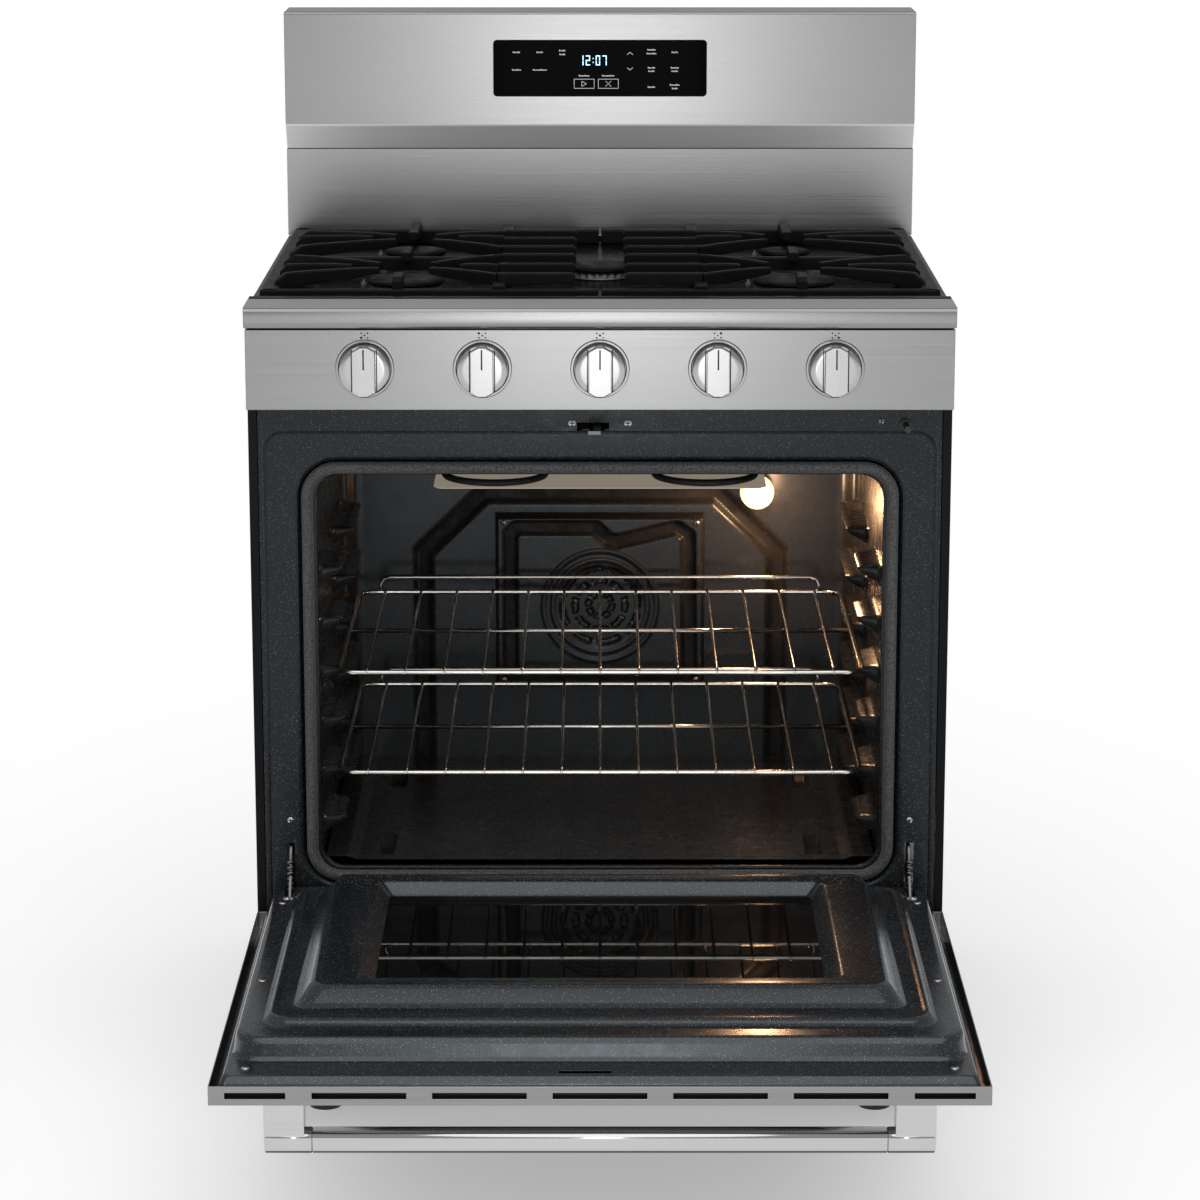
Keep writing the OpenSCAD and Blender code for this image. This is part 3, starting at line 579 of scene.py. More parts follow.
def handle():
    """Bar and end posts with rounded edges and a fine seam between them."""
    lo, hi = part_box("handle_bar")
    front = (lo.y - FRONT) / MM
    z0, z1 = lo.z / MM, hi.z / MM
    seam, end, thick, corner = 280, 327, 24, 6.5

    def section(x, grow=0.0):
        return [at(x, y, z) for y, z in
                rounded(front - grow, front + thick + grow, z0 - grow, z1 + grow, corner, 8, 3)]

    bar = loft([section(x, g) for x, g in ((-seam + 0.3, -0.6), (-seam + 0.9, 0),
                                           (seam - 0.9, 0), (seam - 0.3, -0.6))], True, True)
    def shade(obj):
        """Painted shade: a darker copy of the polished steel on the rounded edge between the
        bar's front and underside.
        """
        for p in obj.data.polygons:
            p.material_index = 1 if p.normal.y < -0.3 and p.normal.z < -0.3 else 0

    # polished steel, and its darker copy as painted shade for the lower front edge
    steel_and_painted_shade = [POLISHED, HANDLE_EDGE_PAINTED_SHADE]
    shade(build("handle_bar_tube", [bar], steel_and_painted_shade, ["handle_bar"], DOOR))
    for side, tag in SIDES:
        cap = loft([section(side * x, g) for x, g in ((seam, -0.6), (seam + 0.8, 0),
                                                      (end - 2, 0), (end - 0.5, -1.5))],
                   True, True)
        shade(build("handle_cap_" + tag, [cap], steel_and_painted_shade,
                    ["handle_ends"] if side < 0 else (), DOOR))
        xs = sorted((side * 287, side * (end - 0.2)))
        post = brick(xs, (front + 0.6, front + 23.6), (z0 + 9, 221.6))
        soften(build("handle_post_" + tag, [post], POLISHED, body=DOOR,
                     smooth=False), 1.6, 3)


# ---- oven front

def front_loop(half, low, high, r, depth):
    return [at(x, depth, z) for x, z in rounded(-half, half, low, high, r, 10, 14)]


def front_frame():
    loops = [
        front_loop(368.6, 218.4, 811.6, 2, 1.2), front_loop(368.9, 218.1, 811.9, 2.2, 0.4),
        front_loop(368.2, 218.8, 811.2, 2.5, 0.0), front_loop(363.4, 224, 781.4, 22, 0.0),
        front_loop(362.7, 224.7, 780.7, 21.4, 0.5), front_loop(361.8, 225.6, 779.8, 20.6, 1.7),
        front_loop(360.9, 226.5, 778.9, 19.8, 0.5), front_loop(360.2, 227.2, 778.2, 19.2, 0.05),
        front_loop(331.5, 267, 754.5, 47, 0.0), front_loop(329.2, 269.2, 752.2, 45, 0.4),
        front_loop(327.3, 271.0, 750.2, 43.6, 1.6), front_loop(326.2, 272.1, 749.2, 43, 4),
        front_loop(325.6, 272.6, 748.6, 42.6, 10), front_loop(324.2, 274, 747.2, 41, 11.6),
        front_loop(322, 276, 745, 39, 12), front_loop(310.4, 287, 734, 28, 12),
        front_loop(308.4, 288.8, 732.2, 27, 12.3), front_loop(307.3, 289.8, 731.2, 26.2, 13.4),
        front_loop(307, 290, 731, 26, 17),
    ]
    mesh = mesh_from("oven_front_face", *loft(loops))
    holes = [(at(-25, -4, 781.5), at(10, 6, 790.5))]
    for side, _ in SIDES:
        x0, x1 = sorted(side * x for x in HINGE_SLOT_X)
        holes.append((at(x0, -4, 262), at(x1, 6, 320)))
    punch(mesh, holes)
    obj = piece("oven_front_face", mesh, ENAMEL, RANGE, ["oven_front_frame"])
    sheet(obj, 1.1, (0, 1, 0))

    rope_y, rope_r, flat_y = 5.4, 6.2, -0.4
    rope = [at(x, rope_y, z) for x, z in rounded(-317, 317, 281, 740, 32, 14, 30)]
    verts, faces = tube(rope, rope_r * MM, 16, True)
    flat = [Vector((v.x, max(v.y, at(0, flat_y, 0).y), v.z)) for v in verts]
    piece("gasket_rope", mesh_from("gasket_rope", flat, faces), ROPE, RANGE,
          ["door_gasket"])

    # shelf and pivot of the latch, and the switch's housing, behind the plate
    hidden = [brick((-20, 14), (1.2, 40), (774, 776)),
              lathe([(3, 0), (3, 20)], at(-3, 26, 776), "z", 24),
              brick((321, 337), (1.2, 24), (780, 796))]
    build("latch_shelf", hidden, HARDWARE)
    for side, tag in SIDES:
        screw("latch_screw_" + tag, side * 30, 0, 790, "y", RANGE, 4.4, -1)
        screw("frame_screw_" + tag, side * 340.7, 0, 346, "y", RANGE, 3.6, -1)
    screw("switch_screw", 303, 0, 792, "y", RANGE, 3.0, -1)
    paint(HINGE_STEEL, "latch_hook", bevel=0.5)
    paint(PLASTIC, "door_switch_button", bevel=0.6)
    bush = [(3.7, 0.2), (6.5, 0.2), (6.5, 0.9), (5.6, 1.3), (3.7, 1.3)]
    build("switch_bush", [lathe(bush, at(329, 0, 788), "y", 32, -1)], PLASTIC)


def hinge_details():
    """The arms, with the notched edge that their springs hook on."""
    paint(HINGE_STEEL, "hinge_arms", bevel=0.5)
    arm_x, half_w, low, pitch, radius = 341, 3.2, 270, 6.2, 2.1
    for side, tag in SIDES:
        parts = []
        for k in range(6):
            z = low + pitch * k
            y = -9 - 2.4 * math.sin(math.pi * k / 6)
            parts.append(tube([at(side * arm_x - half_w, y, z), at(side * arm_x + half_w, y, z)],
                              radius * MM, 10))
        build("hinge_notches_" + tag, parts, HINGE_STEEL)


# ---- cavity

CAVITY_Z = (237, 734.5)           # floor to ceiling
REAR_Y = 479.5                    # the rear wall's face


def relief(name, u, v, place, height, replaces):
    """A sheet over a grid of u and v, pushed out of its plane by height(u, v)."""
    verts = [place(a, b, height(a, b)) for b in v for a in u]
    n = len(u)
    faces = [(j * n + i, j * n + i + 1, (j + 1) * n + i + 1, (j + 1) * n + i)
             for j in range(len(v) - 1) for i in range(n - 1)]
    return piece(name, mesh_from(name, verts, faces), CAVITY, RANGE, replaces)


def paint_channel_shade(obj, channel, reach):
    """Painted shade for the bottom of a pressed channel, which the lamp doesn't reach: faces
    within reach of the channel get the near-black material.
    """
    obj.data.materials.append(DARK)
    for p in obj.data.polygons:
        if line_distance(p.center.x / MM, p.center.z / MM, channel) < reach:
            p.material_index = 1


def line_distance(x, z, path):
    """Distance from a point to a chain of straight stretches."""
    best = 1e9
    for (x0, z0), (x1, z1) in zip(path, path[1:]):
        dx, dz = x1 - x0, z1 - z0
        t = max(0.0, min(1.0, ((x - x0) * dx + (z - z0) * dz) / (dx * dx + dz * dz)))
        best = min(best, math.hypot(x - x0 - t * dx, z - z0 - t * dz))
    return best


def steps(start, end, count):
    return [start + (end - start) * k / count for k in range(count + 1)]


def rear_wall():
    channel = [(-214, 240), (-214, 545), (-140, 617), (140, 617), (214, 545), (214, 240)]

    def height(x, z):
        groove = 6.0 * ease((13 - line_distance(x, z, channel)) / 8)
        corner = 14.0 * ease((abs(x) - 284) / 24) ** 2
        return 6.0 - groove + corner

    wall = relief("rear_wall_pressing", steps(-309, 309, 206), steps(*CAVITY_Z, 165),
                  lambda x, z, h: at(x, REAR_Y - h, z), height, ["cavity_rear_wall"])
    # painted shade along the bottom of the rear wall's pressed channel
    paint_channel_shade(wall, channel, 5.5)


def fan_cover():
    """The cover's sheet with its moulded channel, ring and vents."""
    left, right, low, high = -128, 128, 380, 596
    channel = [(-108, 392), (-108, 572), (-100, 580), (-6, 580), (10, 565), (22, 563),
               (92, 580), (106, 570), (108, 392), (-108, 392)]
    fan_z, depth = 484, 29
    vent_radii, vent_half_w, vent_pitch, vent_angle = (14, 30, 46), 3.2, 45, 33

    def height(x, z):
        edge = min(x - left, right - x, z - low, high - z)
        rise = depth * ease(edge / 5)
        groove = -6.0 * ease((10 - line_distance(x, z, channel)) / 5)
        r = math.hypot(x, z - fan_z)
        ring = 1.6 * (ease((4 - abs(r - 68)) / 3) + ease((4 - abs(r - 57)) / 3))
        dish = -2.0 * ease((50 - r) / 6)
        slot = 0.0
        for radius in vent_radii:
            angle = math.degrees(math.atan2(z - fan_z, x)) + radius * 2
            if abs(r - radius) < vent_half_w and angle % vent_pitch < vent_angle:
                slot = -5.0
        return rise + groove + ring + dish + slot

    cover = relief("fan_cover_pressing", steps(left, right, 170), steps(low, high, 146),
                   lambda x, z, h: at(x, REAR_Y - h, z), height, ["fan_cover"])
    # painted shade along the bottom of the cover's pressed channel
    paint_channel_shade(cover, channel, 5.5)
    for x in (-116, 116):
        for z in (392, 586):
            screw(f"cover_screw_{'l' if x < 0 else 'r'}{z}", x, 450.6, z, "y", RANGE, 3.8, -1)


def side_walls():
    """Walls with pressed ribs that carry the racks."""
    ledge_pitch, wall_x, reach = 57, 308.8, 24.2
    levels = [388.8 + ledge_pitch * k for k in range(-1, 5)]
    spans = ((52, 158), (262, 436))

    def height(y, z):
        out = 0.0
        for top in levels:
            for start, end in spans:
                along = ease((y - start) / 16) * ease((end - y) / 16)
                if z > top:
                    across = ease((top + 3.5 - z) / 3.5)
                else:
                    across = ease((z - top + 22) / 20)
                out = max(out, reach * along * across)
        return out

    for side, tag in SIDES:
        relief("cavity_wall_" + tag, steps(14, 479, 116), steps(*CAVITY_Z, 248),
               lambda y, z, h, s=side: at(s * (wall_x - h), y, z), height,
               ["cavity_side_walls"] if side < 0 else ())


def bottom_panel():
    def height(x, y):
        rim = 3.5 * ease((abs(x) - 268) / 14) + 2.5 * ease((44 - y) / 8)
        slot = 0.0
        if 232 < abs(x) < 248 and (54 < y < 134 or 330 < y < 410):
            slot = -14.0
        return rim + slot - 0.8

    panel_z = 291.5
    relief("bottom_panel_tray", steps(-305, 305, 305), steps(26, 474, 112),
           lambda x, y, h: at(x, y, panel_z + h), height, ["oven_bottom_panel"])


def broiler():
    """The pale radiant screen with its two dark loops and their supply tubes; the screen's faint
    warm glow is painted light.
    """
    level, tube_z, tube_r = 700, 707, 4 * MM
    loop_x, loop_y, loop_r = 117, 144, 56
    tray = [[at(x, y, z) for x, y in rounded(-h, h, a, b, 10, 5, 4)]
            for h, a, b, z in ((184, 88, 330, level + 1.4), (182, 90, 328, level),
                               (150, 112, 300, level + 3.5), (120, 135, 270, level + 4))]
    # the screen's emission is painted light; it is no lamp
    build("radiant_screen", [loft(tray, False, True)],
          glowing("radiant_screen", (1.0, 0.82, 0.66), 0.22, (0.6, 0.56, 0.5)),
          ["broil_burner"])
    loops = []
    for side, _ in SIDES:
        x = side * loop_x
        ring = [at(x + loop_r * math.cos(a), loop_y + loop_r * math.sin(a), tube_z)
                for a in (math.pi * k / 24 for k in range(48))]
        loops.append(tube(ring, tube_r, 10, True))
        loops.append(tube([at(x, loop_y + loop_r, tube_z), at(x, 340, tube_z)], tube_r, 10))
        loops.append(tube([at(side * 150, 290, level + 2), at(side * 150, 290, 735)], tube_r, 8))
    loops.append(tube([at(-loop_x, 340, tube_z), at(loop_x, 340, tube_z)], tube_r, 10))
    build("broil_loops", loops, DARK)


def oven_fittings():
    paint(CAVITY, "cavity_ceiling", "cavity_floor")
    paint(HARDWARE, "bake_burner", "temperature_sensor")
    broiler()
    paint(ALUMINIUM, "convection_fan")
    paint(ZINC, "fan_motor")
    paint(WOOL, "oven_insulation")
    centre = at(188, 462, 625)
    globe = lathe([(0.1, -37), (9, -35.6), (16, -31), (19.6, -24), (20.4, -16), (19, -8),
                   (15.5, 0), (13.5, 6)], centre, "y", 40)
    base = lathe([(13.5, 6), (16.5, 7), (16.5, 17)], centre, "y", 32)
    build("lamp_globe", [globe], BULB, ["oven_lamp"])
    build("lamp_base", [base], ALUMINIUM)


def rack(name, level, body, node):
    """A welded wire rack: rounded outer frame, a cross rod, wires and a raised stop."""
    half, front, depth = 288, 30, 400
    wires, wire_pitch, wire_r, rod_r, frame_r = 13, 42.8, 1.7, 2.6, 3.0
    rear = front + depth
    parts = []
    outline = [at(x, y, level) for x, y in rounded(-half, half, front, rear, 22, 6, 8)]
    parts.append(tube(outline, frame_r * MM, 10, True))
    middle = front + depth / 2
    parts.append(tube([at(-half + 1, middle, level - 0.4), at(half - 1, middle, level - 0.4)],
                      rod_r * MM, 8))
    for k in range(wires):
        x = (k - wires // 2) * wire_pitch
        wire = [(rear + 1, level + 2), (rear - 4, level + 3.4), (front + 8, level + 3.4),
                (front + 2, level + 3.2), (front - 1.6, level + 1.2), (front - 2.6, level - 1.6)]
        parts.append(tube([at(x, y, z) for y, z in wire], wire_r * MM, 8))
    stop = []
    for sx, _ in SIDES:
        leg = [(half - 26, rear, level), (half - 25, rear + 1, level + 9),
               (half - 29, rear + 1, level + 16), (half - 36, rear + 1, level + 18)]
        stop.append([at(sx * x, y, z) for x, y, z in leg])
    parts.append(tube(stop[0] + stop[1][::-1], rod_r * MM, 8))
    build(name, parts, WIRE, [node], body)


# ---- cooktop

def cast_bar(start, end, profile, width):
    """A cast bar between two plan points; profile holds (share, top, bottom)."""
    a, b = Vector((*start, 0)), Vector((*end, 0))
    along = (b - a).normalized()
    side = Vector((-along.y, along.x, 0))
    loops = []
    for share, top, bottom in profile:
        p = a.lerp(b, share)
        ring = []
        for across, z in ((-0.82, top), (0.82, top), (1.0, top - 2), (1.0, bottom),
                          (-1.0, bottom), (-1.0, top - 2)):
            q = p + side * across * (width / 2)
            ring.append(at(q.x, q.y, z))
        loops.append(ring)
    return loft(loops, True, True)


def grate(side, name, node):
    """One cast grate: border, comb towards the middle, and fingers to each burner."""
    top, border = 938, 925
    burner_x, post_x = 216, 220
    straight = [(0, top - 3, top - 9), (0.04, top, top - 12), (1, top, top - 14)]
    parts = []

    def bar(start, end, profile, width):
        parts.append(cast_bar(start, end, profile, width))

    def rail(start, end, width, high=border, low=912.2):
        bar(start, end, [(0, high, low), (1, high, low)], width)

    rail((1.6, 69.5), (366, 69.5), 9)
    rail((1.6, 569.5), (366, 569.5), 16, border, 908.5)
    rail((359, 66), (359, 576), 21)
    comb = (105, 180, 258, 324, 396, 462)
    for y in comb:
        bar((27, y), (112, y), straight, 8)
    rail((110, 66), (110, 576), 15, top - 9, 914)
    rail((118, 296), (352, 296), 9, top - 9, 914)
    fingers = ((178, comb[0], comb[2], 46), (415, comb[3], comb[5], 36))
    for b, near, far, reach in fingers:
        for sx, _ in SIDES:
            root = 112 if sx < 0 else 356
            low = top - 14 if sx < 0 else 914
            tip = burner_x + sx * reach * 0.62
            shape = [(0, top - 1 if sx < 0 else border + 4, low), (0.10, top - 0.6, low + 1),
                     (0.3, top, top - 14), (0.75, top, top - 11), (1, top - 1, top - 8)]
            bar((root, near), (tip, b - 24), shape, 8)
            bar((root, b), (burner_x + sx * (reach + 14), b), shape, 7)
            bar((root, far), (tip, b + 16), shape, 8)
    post = [(0, border + 9, 916), (0.12, top, 917), (0.5, top, top - 15), (1, top, top - 10)]
    bar((post_x, 68), (post_x, 108), post, 11)
    bar((post_x, 330), (post_x, 264),
        [(0, top - 2, 914), (0.2, top, top - 12), (1, top, top - 10)], 11)
    bar((post_x, 574), (post_x, 440), [(0, border, 912), (0.3, top, 918),
                                       (0.6, top, top - 14), (1, top, top - 10)], 11)
    for x in (110, 358):
        for y in (69.5, 569.5):
            parts.append(lathe([(4.5, 0), (5.5, 1.5), (5.5, 8)], at(x, y, 907.6), "z", 16))
    turned = [([(side * v[0], v[1], v[2]) for v in verts], faces) for verts, faces in parts]
    soften(build(name, turned, IRON, [node], smooth=False), 1.3, 2, 30)


# x, y and cap radius of each burner
BURNERS = ((-216, 178, 42), (-216, 415, 36), (0, 290, 40), (216, 415, 30), (216, 178, 46))


def burners():
    """Toothed heads, caps and spark plugs."""
    heads, caps, sparks = [], [], []
    for x, y, r in BURNERS:
        rings = []
        sides = 96
        for radius, z, toothed in ((r - 9, 900, 0), (r - 9, 906, 0), (r - 2, 907.6, 0),
                                   (r - 2, 909.5, 0), (r - 3.5, 910.2, 1), (r - 3.5, 914.6, 1),
                                   (r - 4, 915.8, 0), (r - 10, 916, 0)):
            ring = []
            for k in range(sides):
                a = 2 * math.pi * k / sides
                cut = 2.2 if toothed and k % 4 < 2 else 0
                ring.append(at(x + (radius - cut) * math.cos(a), y + (radius - cut) * math.sin(a),
                               z))
            rings.append(ring)
        heads.append(loft(rings, True, True))
        caps.append(lathe([(r - 6, 0), (r - 1, 0), (r, 1.2), (r, 2.6), (r - 1.2, 4.2),
                           (r - 5, 5.2), (r * 0.4, 5.45), (0.1, 5.5)],
                          at(x, y, 916), "z", 64))
        sparks.append(lathe([(3.2, 0), (3.2, 9), (2.2, 10), (1.0, 10.2), (1.0, 13)],
                            at(x - r - 5, y, 907), "z", 16))
    build("burner_head_castings", heads, ALUMINIUM, ["burner_heads"])
    build("burner_cap_discs", caps, CAPS, ["burner_caps"])
    build("spark_plugs", sparks, moulded_plastic("spark_ceramic", 0.10))


def cooktop():
    """The pan, whose rows are half width, front, rear, radius, height, and all that it bears."""
    bottom = 907.5
    rows = [(370, 29, 586, 2, 905.2), (378.6, 21, 594, 2, 905.2),
            (379, 20.6, 594.4, 2.4, 912.6), (378.2, 21.6, 593.6, 3, 914),
            (372, 28, 588, 10, 914), (370.5, 30, 586.5, 11, 913.2), (368, 33, 584, 12, 909.6),
            (364, 37, 580, 14, bottom), (340, 60, 560, 22, bottom - 0.2)]
    loops = [[at(x, y, z) for x, y in rounded(-h, h, a, b, r, 8, 12)] for h, a, b, r, z in rows]
    build("cooktop_pressing", [loft(loops, False, True)], PAN, ["cooktop_pan"])
    grate(-1, "grate_casting_left", "grate_left")
    grate(1, "grate_casting_right", "grate_right")
    burners()


# ---- controls

KNOB_PITCH, KNOB_Z = 124.6, 857.5


def knob(index):
    """A flat round knob with a raised grip bar and a pointer line."""
    x = (index - 3) * KNOB_PITCH
    body = f"knob_cap_{index}"
    disc = lathe([(24.5, 54.6), (26.6, 55.0), (26.9, 56.2), (26.9, 63.4), (26.5, 64.6),
                  (25.4, 65.3), (20, 65.5), (0.1, 65.5)], at(x, 0, KNOB_Z), "y", 72, -1)
    build(f"knob_disc_{index}", [disc], KNOB_FACE, [f"knob_{index}"], body)
    half_w, half_h, radius, front, back = 12.2, 26.3, 26.6, -77.8, -65.2
    outline = []
    for z in steps(-half_h, half_h, 12):
        edge = math.sqrt(max(0.0, radius ** 2 - z * z))
        outline.append((min(half_w, edge), z))
    ring = [(w, z) for w, z in outline] + [(-w, z) for w, z in outline[::-1]]
    loops = [[at(x + a * wide, y, KNOB_Z + b * high) for a, b in ring]
             for y, wide, high in ((back, 1, 1), (front + 1.0, 1, 1),
                                   (front + 0.2, 0.965, 0.985), (front, 0.92, 0.965))]
    grip = build(f"knob_grip_{index}", [loft(loops, True, True)], KNOB_FACE,
                 body=body, smooth=False)
    soften(grip, 0.5, 2, 40)
    # painted shadow: thin dark strips on the disc along each side of the grip
    grip_shadows = [brick((x + a - 0.55, x + a + 0.55), (-65.7, -65.2), (KNOB_Z - 22.5, KNOB_Z + 22.5))
               for a in (-13.3, 13.3)]
    build(f"knob_grip_shadow_{index}", grip_shadows, DARK, body=body)
    line = brick((x - 0.8, x + 0.8), (front - 0.12, front + 0.5), (KNOB_Z + 3, KNOB_Z + 24.5))
    build(f"knob_pointer_{index}", [line], INK, body=body)


def trim():
    """The rounded stainless nose, and the black edge of the cooktop that rests on it."""
    half = 376
    nose = [(0, 903), (-60, 902.2), (-64, 903.4), (-65.8, 906.5), (-66, 909), (-66, 920),
            (-65.4, 922.8), (-63.6, 924.4), (-61, 925), (-3, 925), (-0.6, 924.2), (0, 922)]
    sleeve = [(-0.5, 903.5), (-0.5, 922.5), (0.8, 924.2), (3, 924.8), (19, 924.8), (20, 923),
              (20, 903.5)]

    def folded(name, outline, material, replaces=()):
        loops = []
        for x, pull in ((-half, 0.8), (-half + 0.6, 0), (half - 0.6, 0), (half, 0.8)):
            loops.append([at(x, min(max(y, pull - 66), 20 - pull), z) for y, z in outline])
        obj = build(name, [loft(loops, True, True)], material, replaces)
        obj.data.set_sharp_from_angle(angle=math.radians(40))
        return obj

    top = folded("trim_nose", nose, [STAINLESS, TRIM_TOP_PAINTED_LIGHT], ["front_trim"])
    # upward faces get the copy toned for the light from above: painted light
    for p in top.data.polygons:
        p.material_index = 1 if p.normal.z > 0.9 else 0
    folded("pan_edge", sleeve, PAN)


def controls():
    paint(STAINLESS, "control_panel", bevel=0.6)
    trim()
    paint(BRASS, "burner_valves")
    paint(HARDWARE, "gas_manifold")
    for index in range(1, 6):
        knob(index)
        paint(HARDWARE, f"valve_stem_{index}")
        x = (index - 3) * KNOB_PITCH
        # a mark for each burner: four corner dots and a middle one, its own burner larger
        own = {1: (-1, -1), 2: (-1, 1), 3: (0, 0), 4: (1, 1), 5: (1, -1)}[index]
        dots, face_y, mark_z = [], -50, 893
        for dx, dz in ((-1, -1), (-1, 1), (1, 1), (1, -1), (0, 0)):
            r = 1.25 if (dx, dz) == own else 0.85
            dots.append(lathe([(0.05, 0.25), (r, 0.25), (r, -0.4), (0.05, -0.4)],
                              at(x + dx * 3.4, face_y, mark_z + dz * 2.4), "y", 20, -1))
        build(f"burner_mark_{index}", dots, INK)


# ---- console

SEGMENTS = {"0": "abcdef", "1": "bc", "2": "abdeg", "7": "abc"}


def segment_bars(text, x, low, y):
    """Seven-segment digits as thin blocks, from x onwards and up from low."""
    width, height, thick, pitch = 5.2, 11.8, 1.15, 7.9
    parts = []
    for letter in text:
        if letter == ":":
            for z in (low + height * 0.3, low + height * 0.7):
                parts.append(brick((x + 0.4, x + 0.4 + thick), y, (z - thick / 2, z + thick / 2)))
            x += pitch * 0.52
            continue
        mid, top = low + height / 2, low + height
        shapes = {"a": ((x, x + width), (top - thick, top)),
                  "d": ((x, x + width), (low, low + thick)),
                  "g": ((x, x + width), (mid - thick / 2, mid + thick / 2)),
                  "b": ((x + width - thick, x + width), (mid + 0.4, top)),
                  "c": ((x + width - thick, x + width), (low, mid - 0.4)),
                  "e": ((x, x + thick), (low, mid - 0.4)),
                  "f": ((x, x + thick), (mid + 0.4, top))}
        for key in SEGMENTS[letter]:
            xs, zs = shapes[key]
            parts.append(brick(xs, y, zs))
        x += pitch
    return parts


def console_case():
    """The folded case: bevel, face and top, closed by end panels and a rear plate."""
    half, rear = 379, 649.8
    profile = [(rear, 1020), (594.9, 1020), (594.2, 1020.6), (575.6, 1048.0), (575.05, 1049.4),
               (575, 1051), (575, 1181.5), (575.3, 1183.6), (576.4, 1184.8), (578.4, 1185),
               (rear, 1185)]
    verts, faces = [], []
    stations = [(-half, 1.5), (-half + 0.25, 0.6), (-half + 0.9, 0)] \
        + [(half - 0.9, 0), (half - 0.25, 0.6), (half, 1.5)]
    for x, shrink in stations:
        for y, z in profile:
            pull_y = shrink if y < 580 else 0
            pull_z = shrink if z < 1030 else -shrink if z > 1180 else 0
            verts.append(at(x, y + pull_y, z + pull_z))
    n = len(profile)
    for k in range(len(stations) - 1):
        for i in range(n):
            j = (i + 1) % n
            faces.append((k * n + i, k * n + j, (k + 1) * n + j, (k + 1) * n + i))
    faces.append(tuple(range(n)))
    faces.append(tuple(range((len(stations) - 1) * n, len(stations) * n)))
    mesh = mesh_from("console_case", verts, faces)
    obj = piece("console_case", mesh, [STAINLESS, BEVEL_STEEL_PAINTED_HIGHLIGHT, ZINC], RANGE,
                ["console_shell"], smooth=False)
    # bevel faces get the brighter copy of the stainless as a painted highlight; rear faces are
    # the galvanised plate
    for p in mesh.polygons:
        p.material_index = 1 if p.center.z < at(0, 0, 1050.8).z and p.normal.y < -0.3 else 0
        if p.normal.y > 0.9:
            p.material_index = 2
    mesh.shade_smooth()
    mesh.set_sharp_from_angle(angle=math.radians(50))
    obj.modifiers.new("flat", "WEIGHTED_NORMAL").keep_sharp = True


def console():
    # the riser's stainless is a copy toned for its lighting: painted light
    paint(RISER_STEEL_PAINTED_LIGHT, "riser_panel", bevel=0.5)
    console_case()
    paint(DISPLAY, "display_glass", bevel=0.6)
    paint(BOARD, "control_board")
    face = (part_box("display_glass")[0].y - FRONT) / MM
    build("clock_digits", segment_bars("12:07", -25, 1121.5, (face - 0.35, face + 0.1)), DIGITS)
    y = (face - 0.3, face + 0.1)
    marks = []

    def bar(x, z, width, height):
        marks.append(brick((x - width / 2, x + width / 2), y, (z - height / 2, z + height / 2)))

    def word(x, z, width):
        """A row of small upright blocks that stands for a key's name."""
        count = max(2, round(width / 1.5))
        for k in range(count):
            tall = 1.9 if k in (0, count // 2 + 1) else 1.3
            left = x - width / 2 + k * width / count
            marks.append(brick((left, left + 0.95), y, (z - 0.8, z - 0.8 + tall)))

    # two framed keys, with a triangle and a cross
    for x in (-19, 10):
        for z in (1094, 1105):
            bar(x, z, 24, 0.5)
        for edge in (-12, 12):
            bar(x + edge, 1099.5, 0.5, 11.5)
    for k in range(12):
        reach = 3.2 * (1 - k / 12)
        for sign in (-1, 1):
            marks.append(brick((-22 + k * 0.5, -21.4 + k * 0.5), y,
                               sorted((1099.5 + sign * (reach - 0.5), 1099.5 + sign * reach))))
    bar(-21.9, 1099.5, 0.5, 6.4)
    for k in range(-3, 4):
        for sign in (-1, 1):
            marks.append(brick((9.6 + k, 10.4 + k), y, (1099.2 + sign * k, 1099.9 + sign * k)))
    word(-19, 1109, 13)
    word(10, 1109, 15)
    # arrows
    for z, sign in ((1137, 1), (1116, -1)):
        for k in range(4):
            for side in (-1, 1):
                marks.append(brick((36 + side * k - 0.5, 36 + side * k + 0.5), y,
                                   (z - sign * k * 0.8 - 0.35, z - sign * k * 0.8 + 0.35)))
    # rows of blocks in place of the key names
    for x, z, width in ((-100, 1137, 9), (-72, 1137, 8), (-45, 1139, 8), (-45, 1134.5, 7),
                        (-100, 1116, 11), (-72, 1116, 17), (62, 1140, 10), (62, 1135.5, 12),
                        (90, 1137, 8), (62, 1118.5, 9), (62, 1114.5, 8), (90, 1118.5, 10),
                        (90, 1114.5, 8), (62, 1095.5, 9), (90, 1098, 12), (90, 1093.8, 7)):
        word(x, z, width)
    # the marks are print with a faint glow of painted light
    build("display_marks", marks, MARKS)


# ---- casing

def casing():
    paint(PANEL_PAINT, "side_panels", bevel=0.4)
    paint(ZINC, "rear_cover", "drawer_guides", "drawer_box")
    paint(PANEL_PAINT, "base_frame")
    paint(PLASTIC, "levelling_feet", bevel=1.0)
    paint(PLASTIC, "power_inlet", bevel=0.6)
    paint(BRASS, "gas_regulator", bevel=0.8)
    # the drawer front gets the darker copy of the stainless as painted shade
    paint(DRAWER_STEEL_PAINTED_SHADE, "drawer_front", bevel=1.2)
    rear = (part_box("rear_cover")[1].y - FRONT) / MM
    screw_x, low, pitch, sunk = 360, 100, 185, 2.6
    for side, tag in SIDES:
        for k in range(5):
            screw(f"rear_screw_{tag[0]}{k + 1}", side * screw_x, rear - sunk,
                  low + pitch * k, "y", RANGE, 3.6)


# ---- stage, light, camera

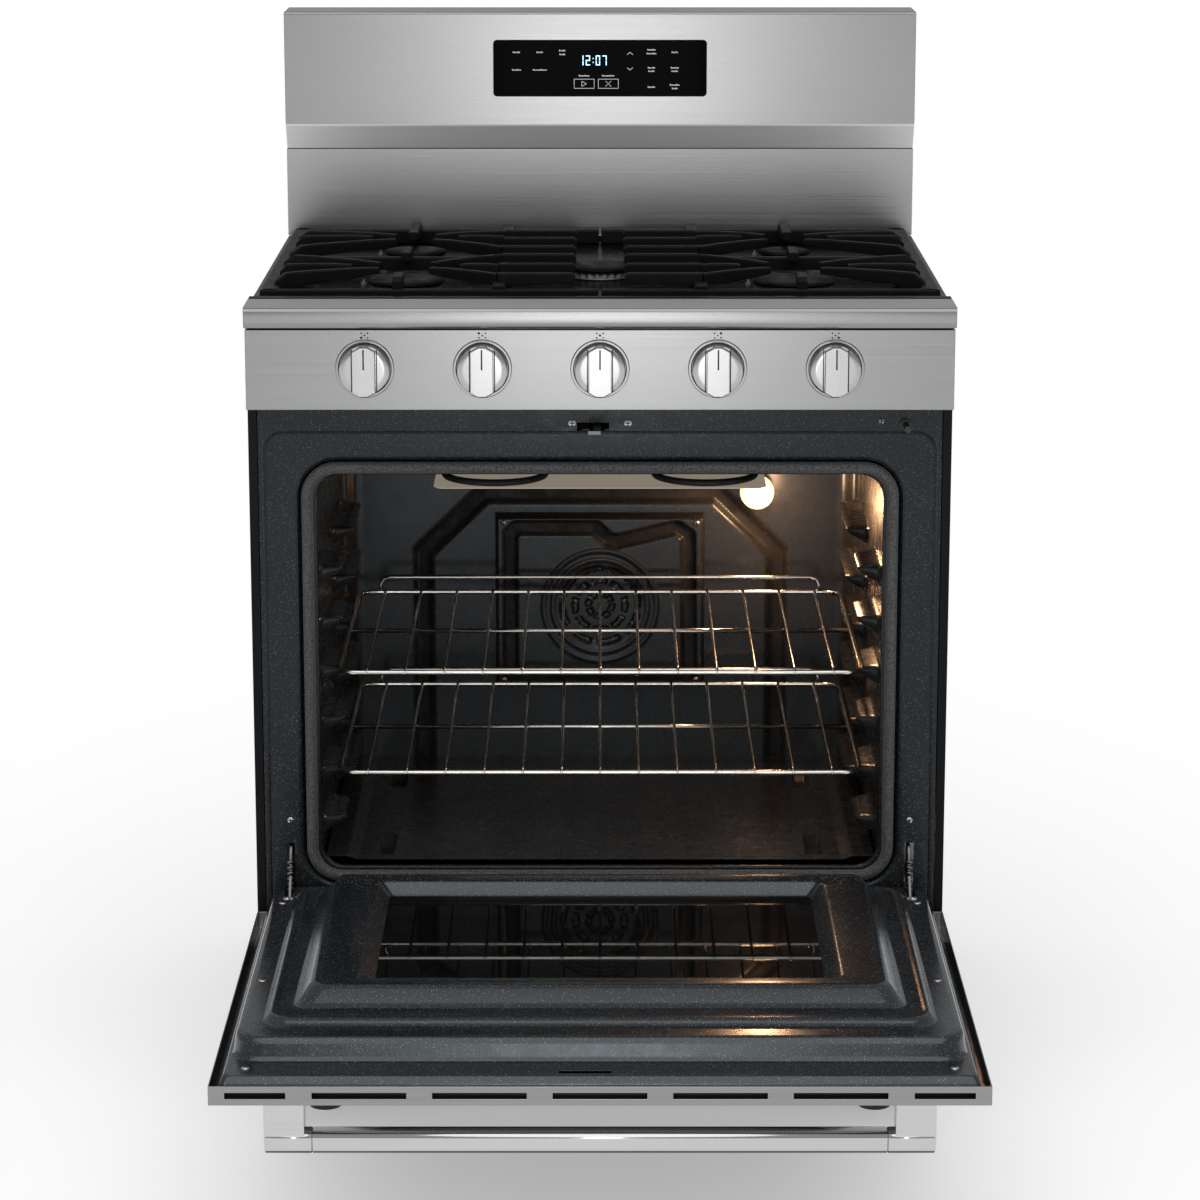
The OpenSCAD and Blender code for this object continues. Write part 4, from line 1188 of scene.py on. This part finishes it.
def lamp(name, kind, energy, position=(0, 0, 0), rotation=(0, 0, 0), **settings):
    """A light, placed in metres and turned in degrees."""
    light = bpy.data.lights.new(name, kind)
    light.energy = energy
    for key, value in settings.items():
        setattr(light, key, value)
    obj = linked(name, light)
    obj.location = position
    obj.rotation_euler = [math.radians(angle) for angle in rotation]


def studio():
    floor_mesh = bpy.data.meshes.new("floor")
    size = 60                     # metres
    floor_mesh.from_pydata([(-size, -size, 0), (size, -size, 0), (size, size, 0),
                            (-size, size, 0)], [], [(0, 1, 2, 3)])
    floor = linked("floor", floor_mesh)
    s = Shader("pale_floor", Roughness=0.7)
    s.surface.inputs["Base Color"].default_value = (0.95, 0.95, 0.95, 1)
    s.surface.inputs["Emission Color"].default_value = (1, 1, 1, 1)
    s.surface.inputs["Emission Strength"].default_value = 0.34
    floor_mesh.materials.append(s.material)

    world = bpy.data.worlds.new("studio")
    bpy.context.scene.world = world
    world.use_nodes = True
    background = world.node_tree.nodes["Background"]
    background.inputs["Color"].default_value = (0.97, 0.98, 1.0, 1)
    background.inputs["Strength"].default_value = 0.42

    lamp("front", "AREA", 14, (0, -5.2, 1.0), (90, 0, 0), shape="RECTANGLE", size=0.55,
         size_y=2.0)
    lamp("overhead", "SUN", 1.25, rotation=(36, 0, 0), angle=math.radians(70))
    lamp("oven_lamp_light", "POINT", 1.4, at(196, 396, 622), color=(1.0, 0.54, 0.28),
         shadow_soft_size=0.02)


def camera():
    """In front, a little higher than the console, and looking down. Metres, degrees, pixels."""
    distance, height, pitch, focal, frame_width = 4.1211, 1.5403, 12.924, 3889.65, 1200
    data = bpy.data.cameras.new("camera")
    data.sensor_width = 36.0
    data.lens = focal / frame_width * data.sensor_width
    cam = linked("camera", data)
    cam.location = (0, FRONT - distance, height)
    cam.rotation_euler = (math.radians(90 - pitch), 0, 0)
    bpy.context.scene.camera = cam
    bpy.context.scene.view_settings.view_transform = "Standard"


camera()
studio()
door_liner()
door_details()
handle()
front_frame()
hinge_details()
rear_wall()
fan_cover()
side_walls()
bottom_panel()
oven_fittings()
rack("rack_upper_wires", 506, "sliding_rack_upper", "rack_upper")
rack("rack_lower_wires", 392, "sliding_rack_lower", "rack_lower")
cooktop()
controls()
console()
casing()
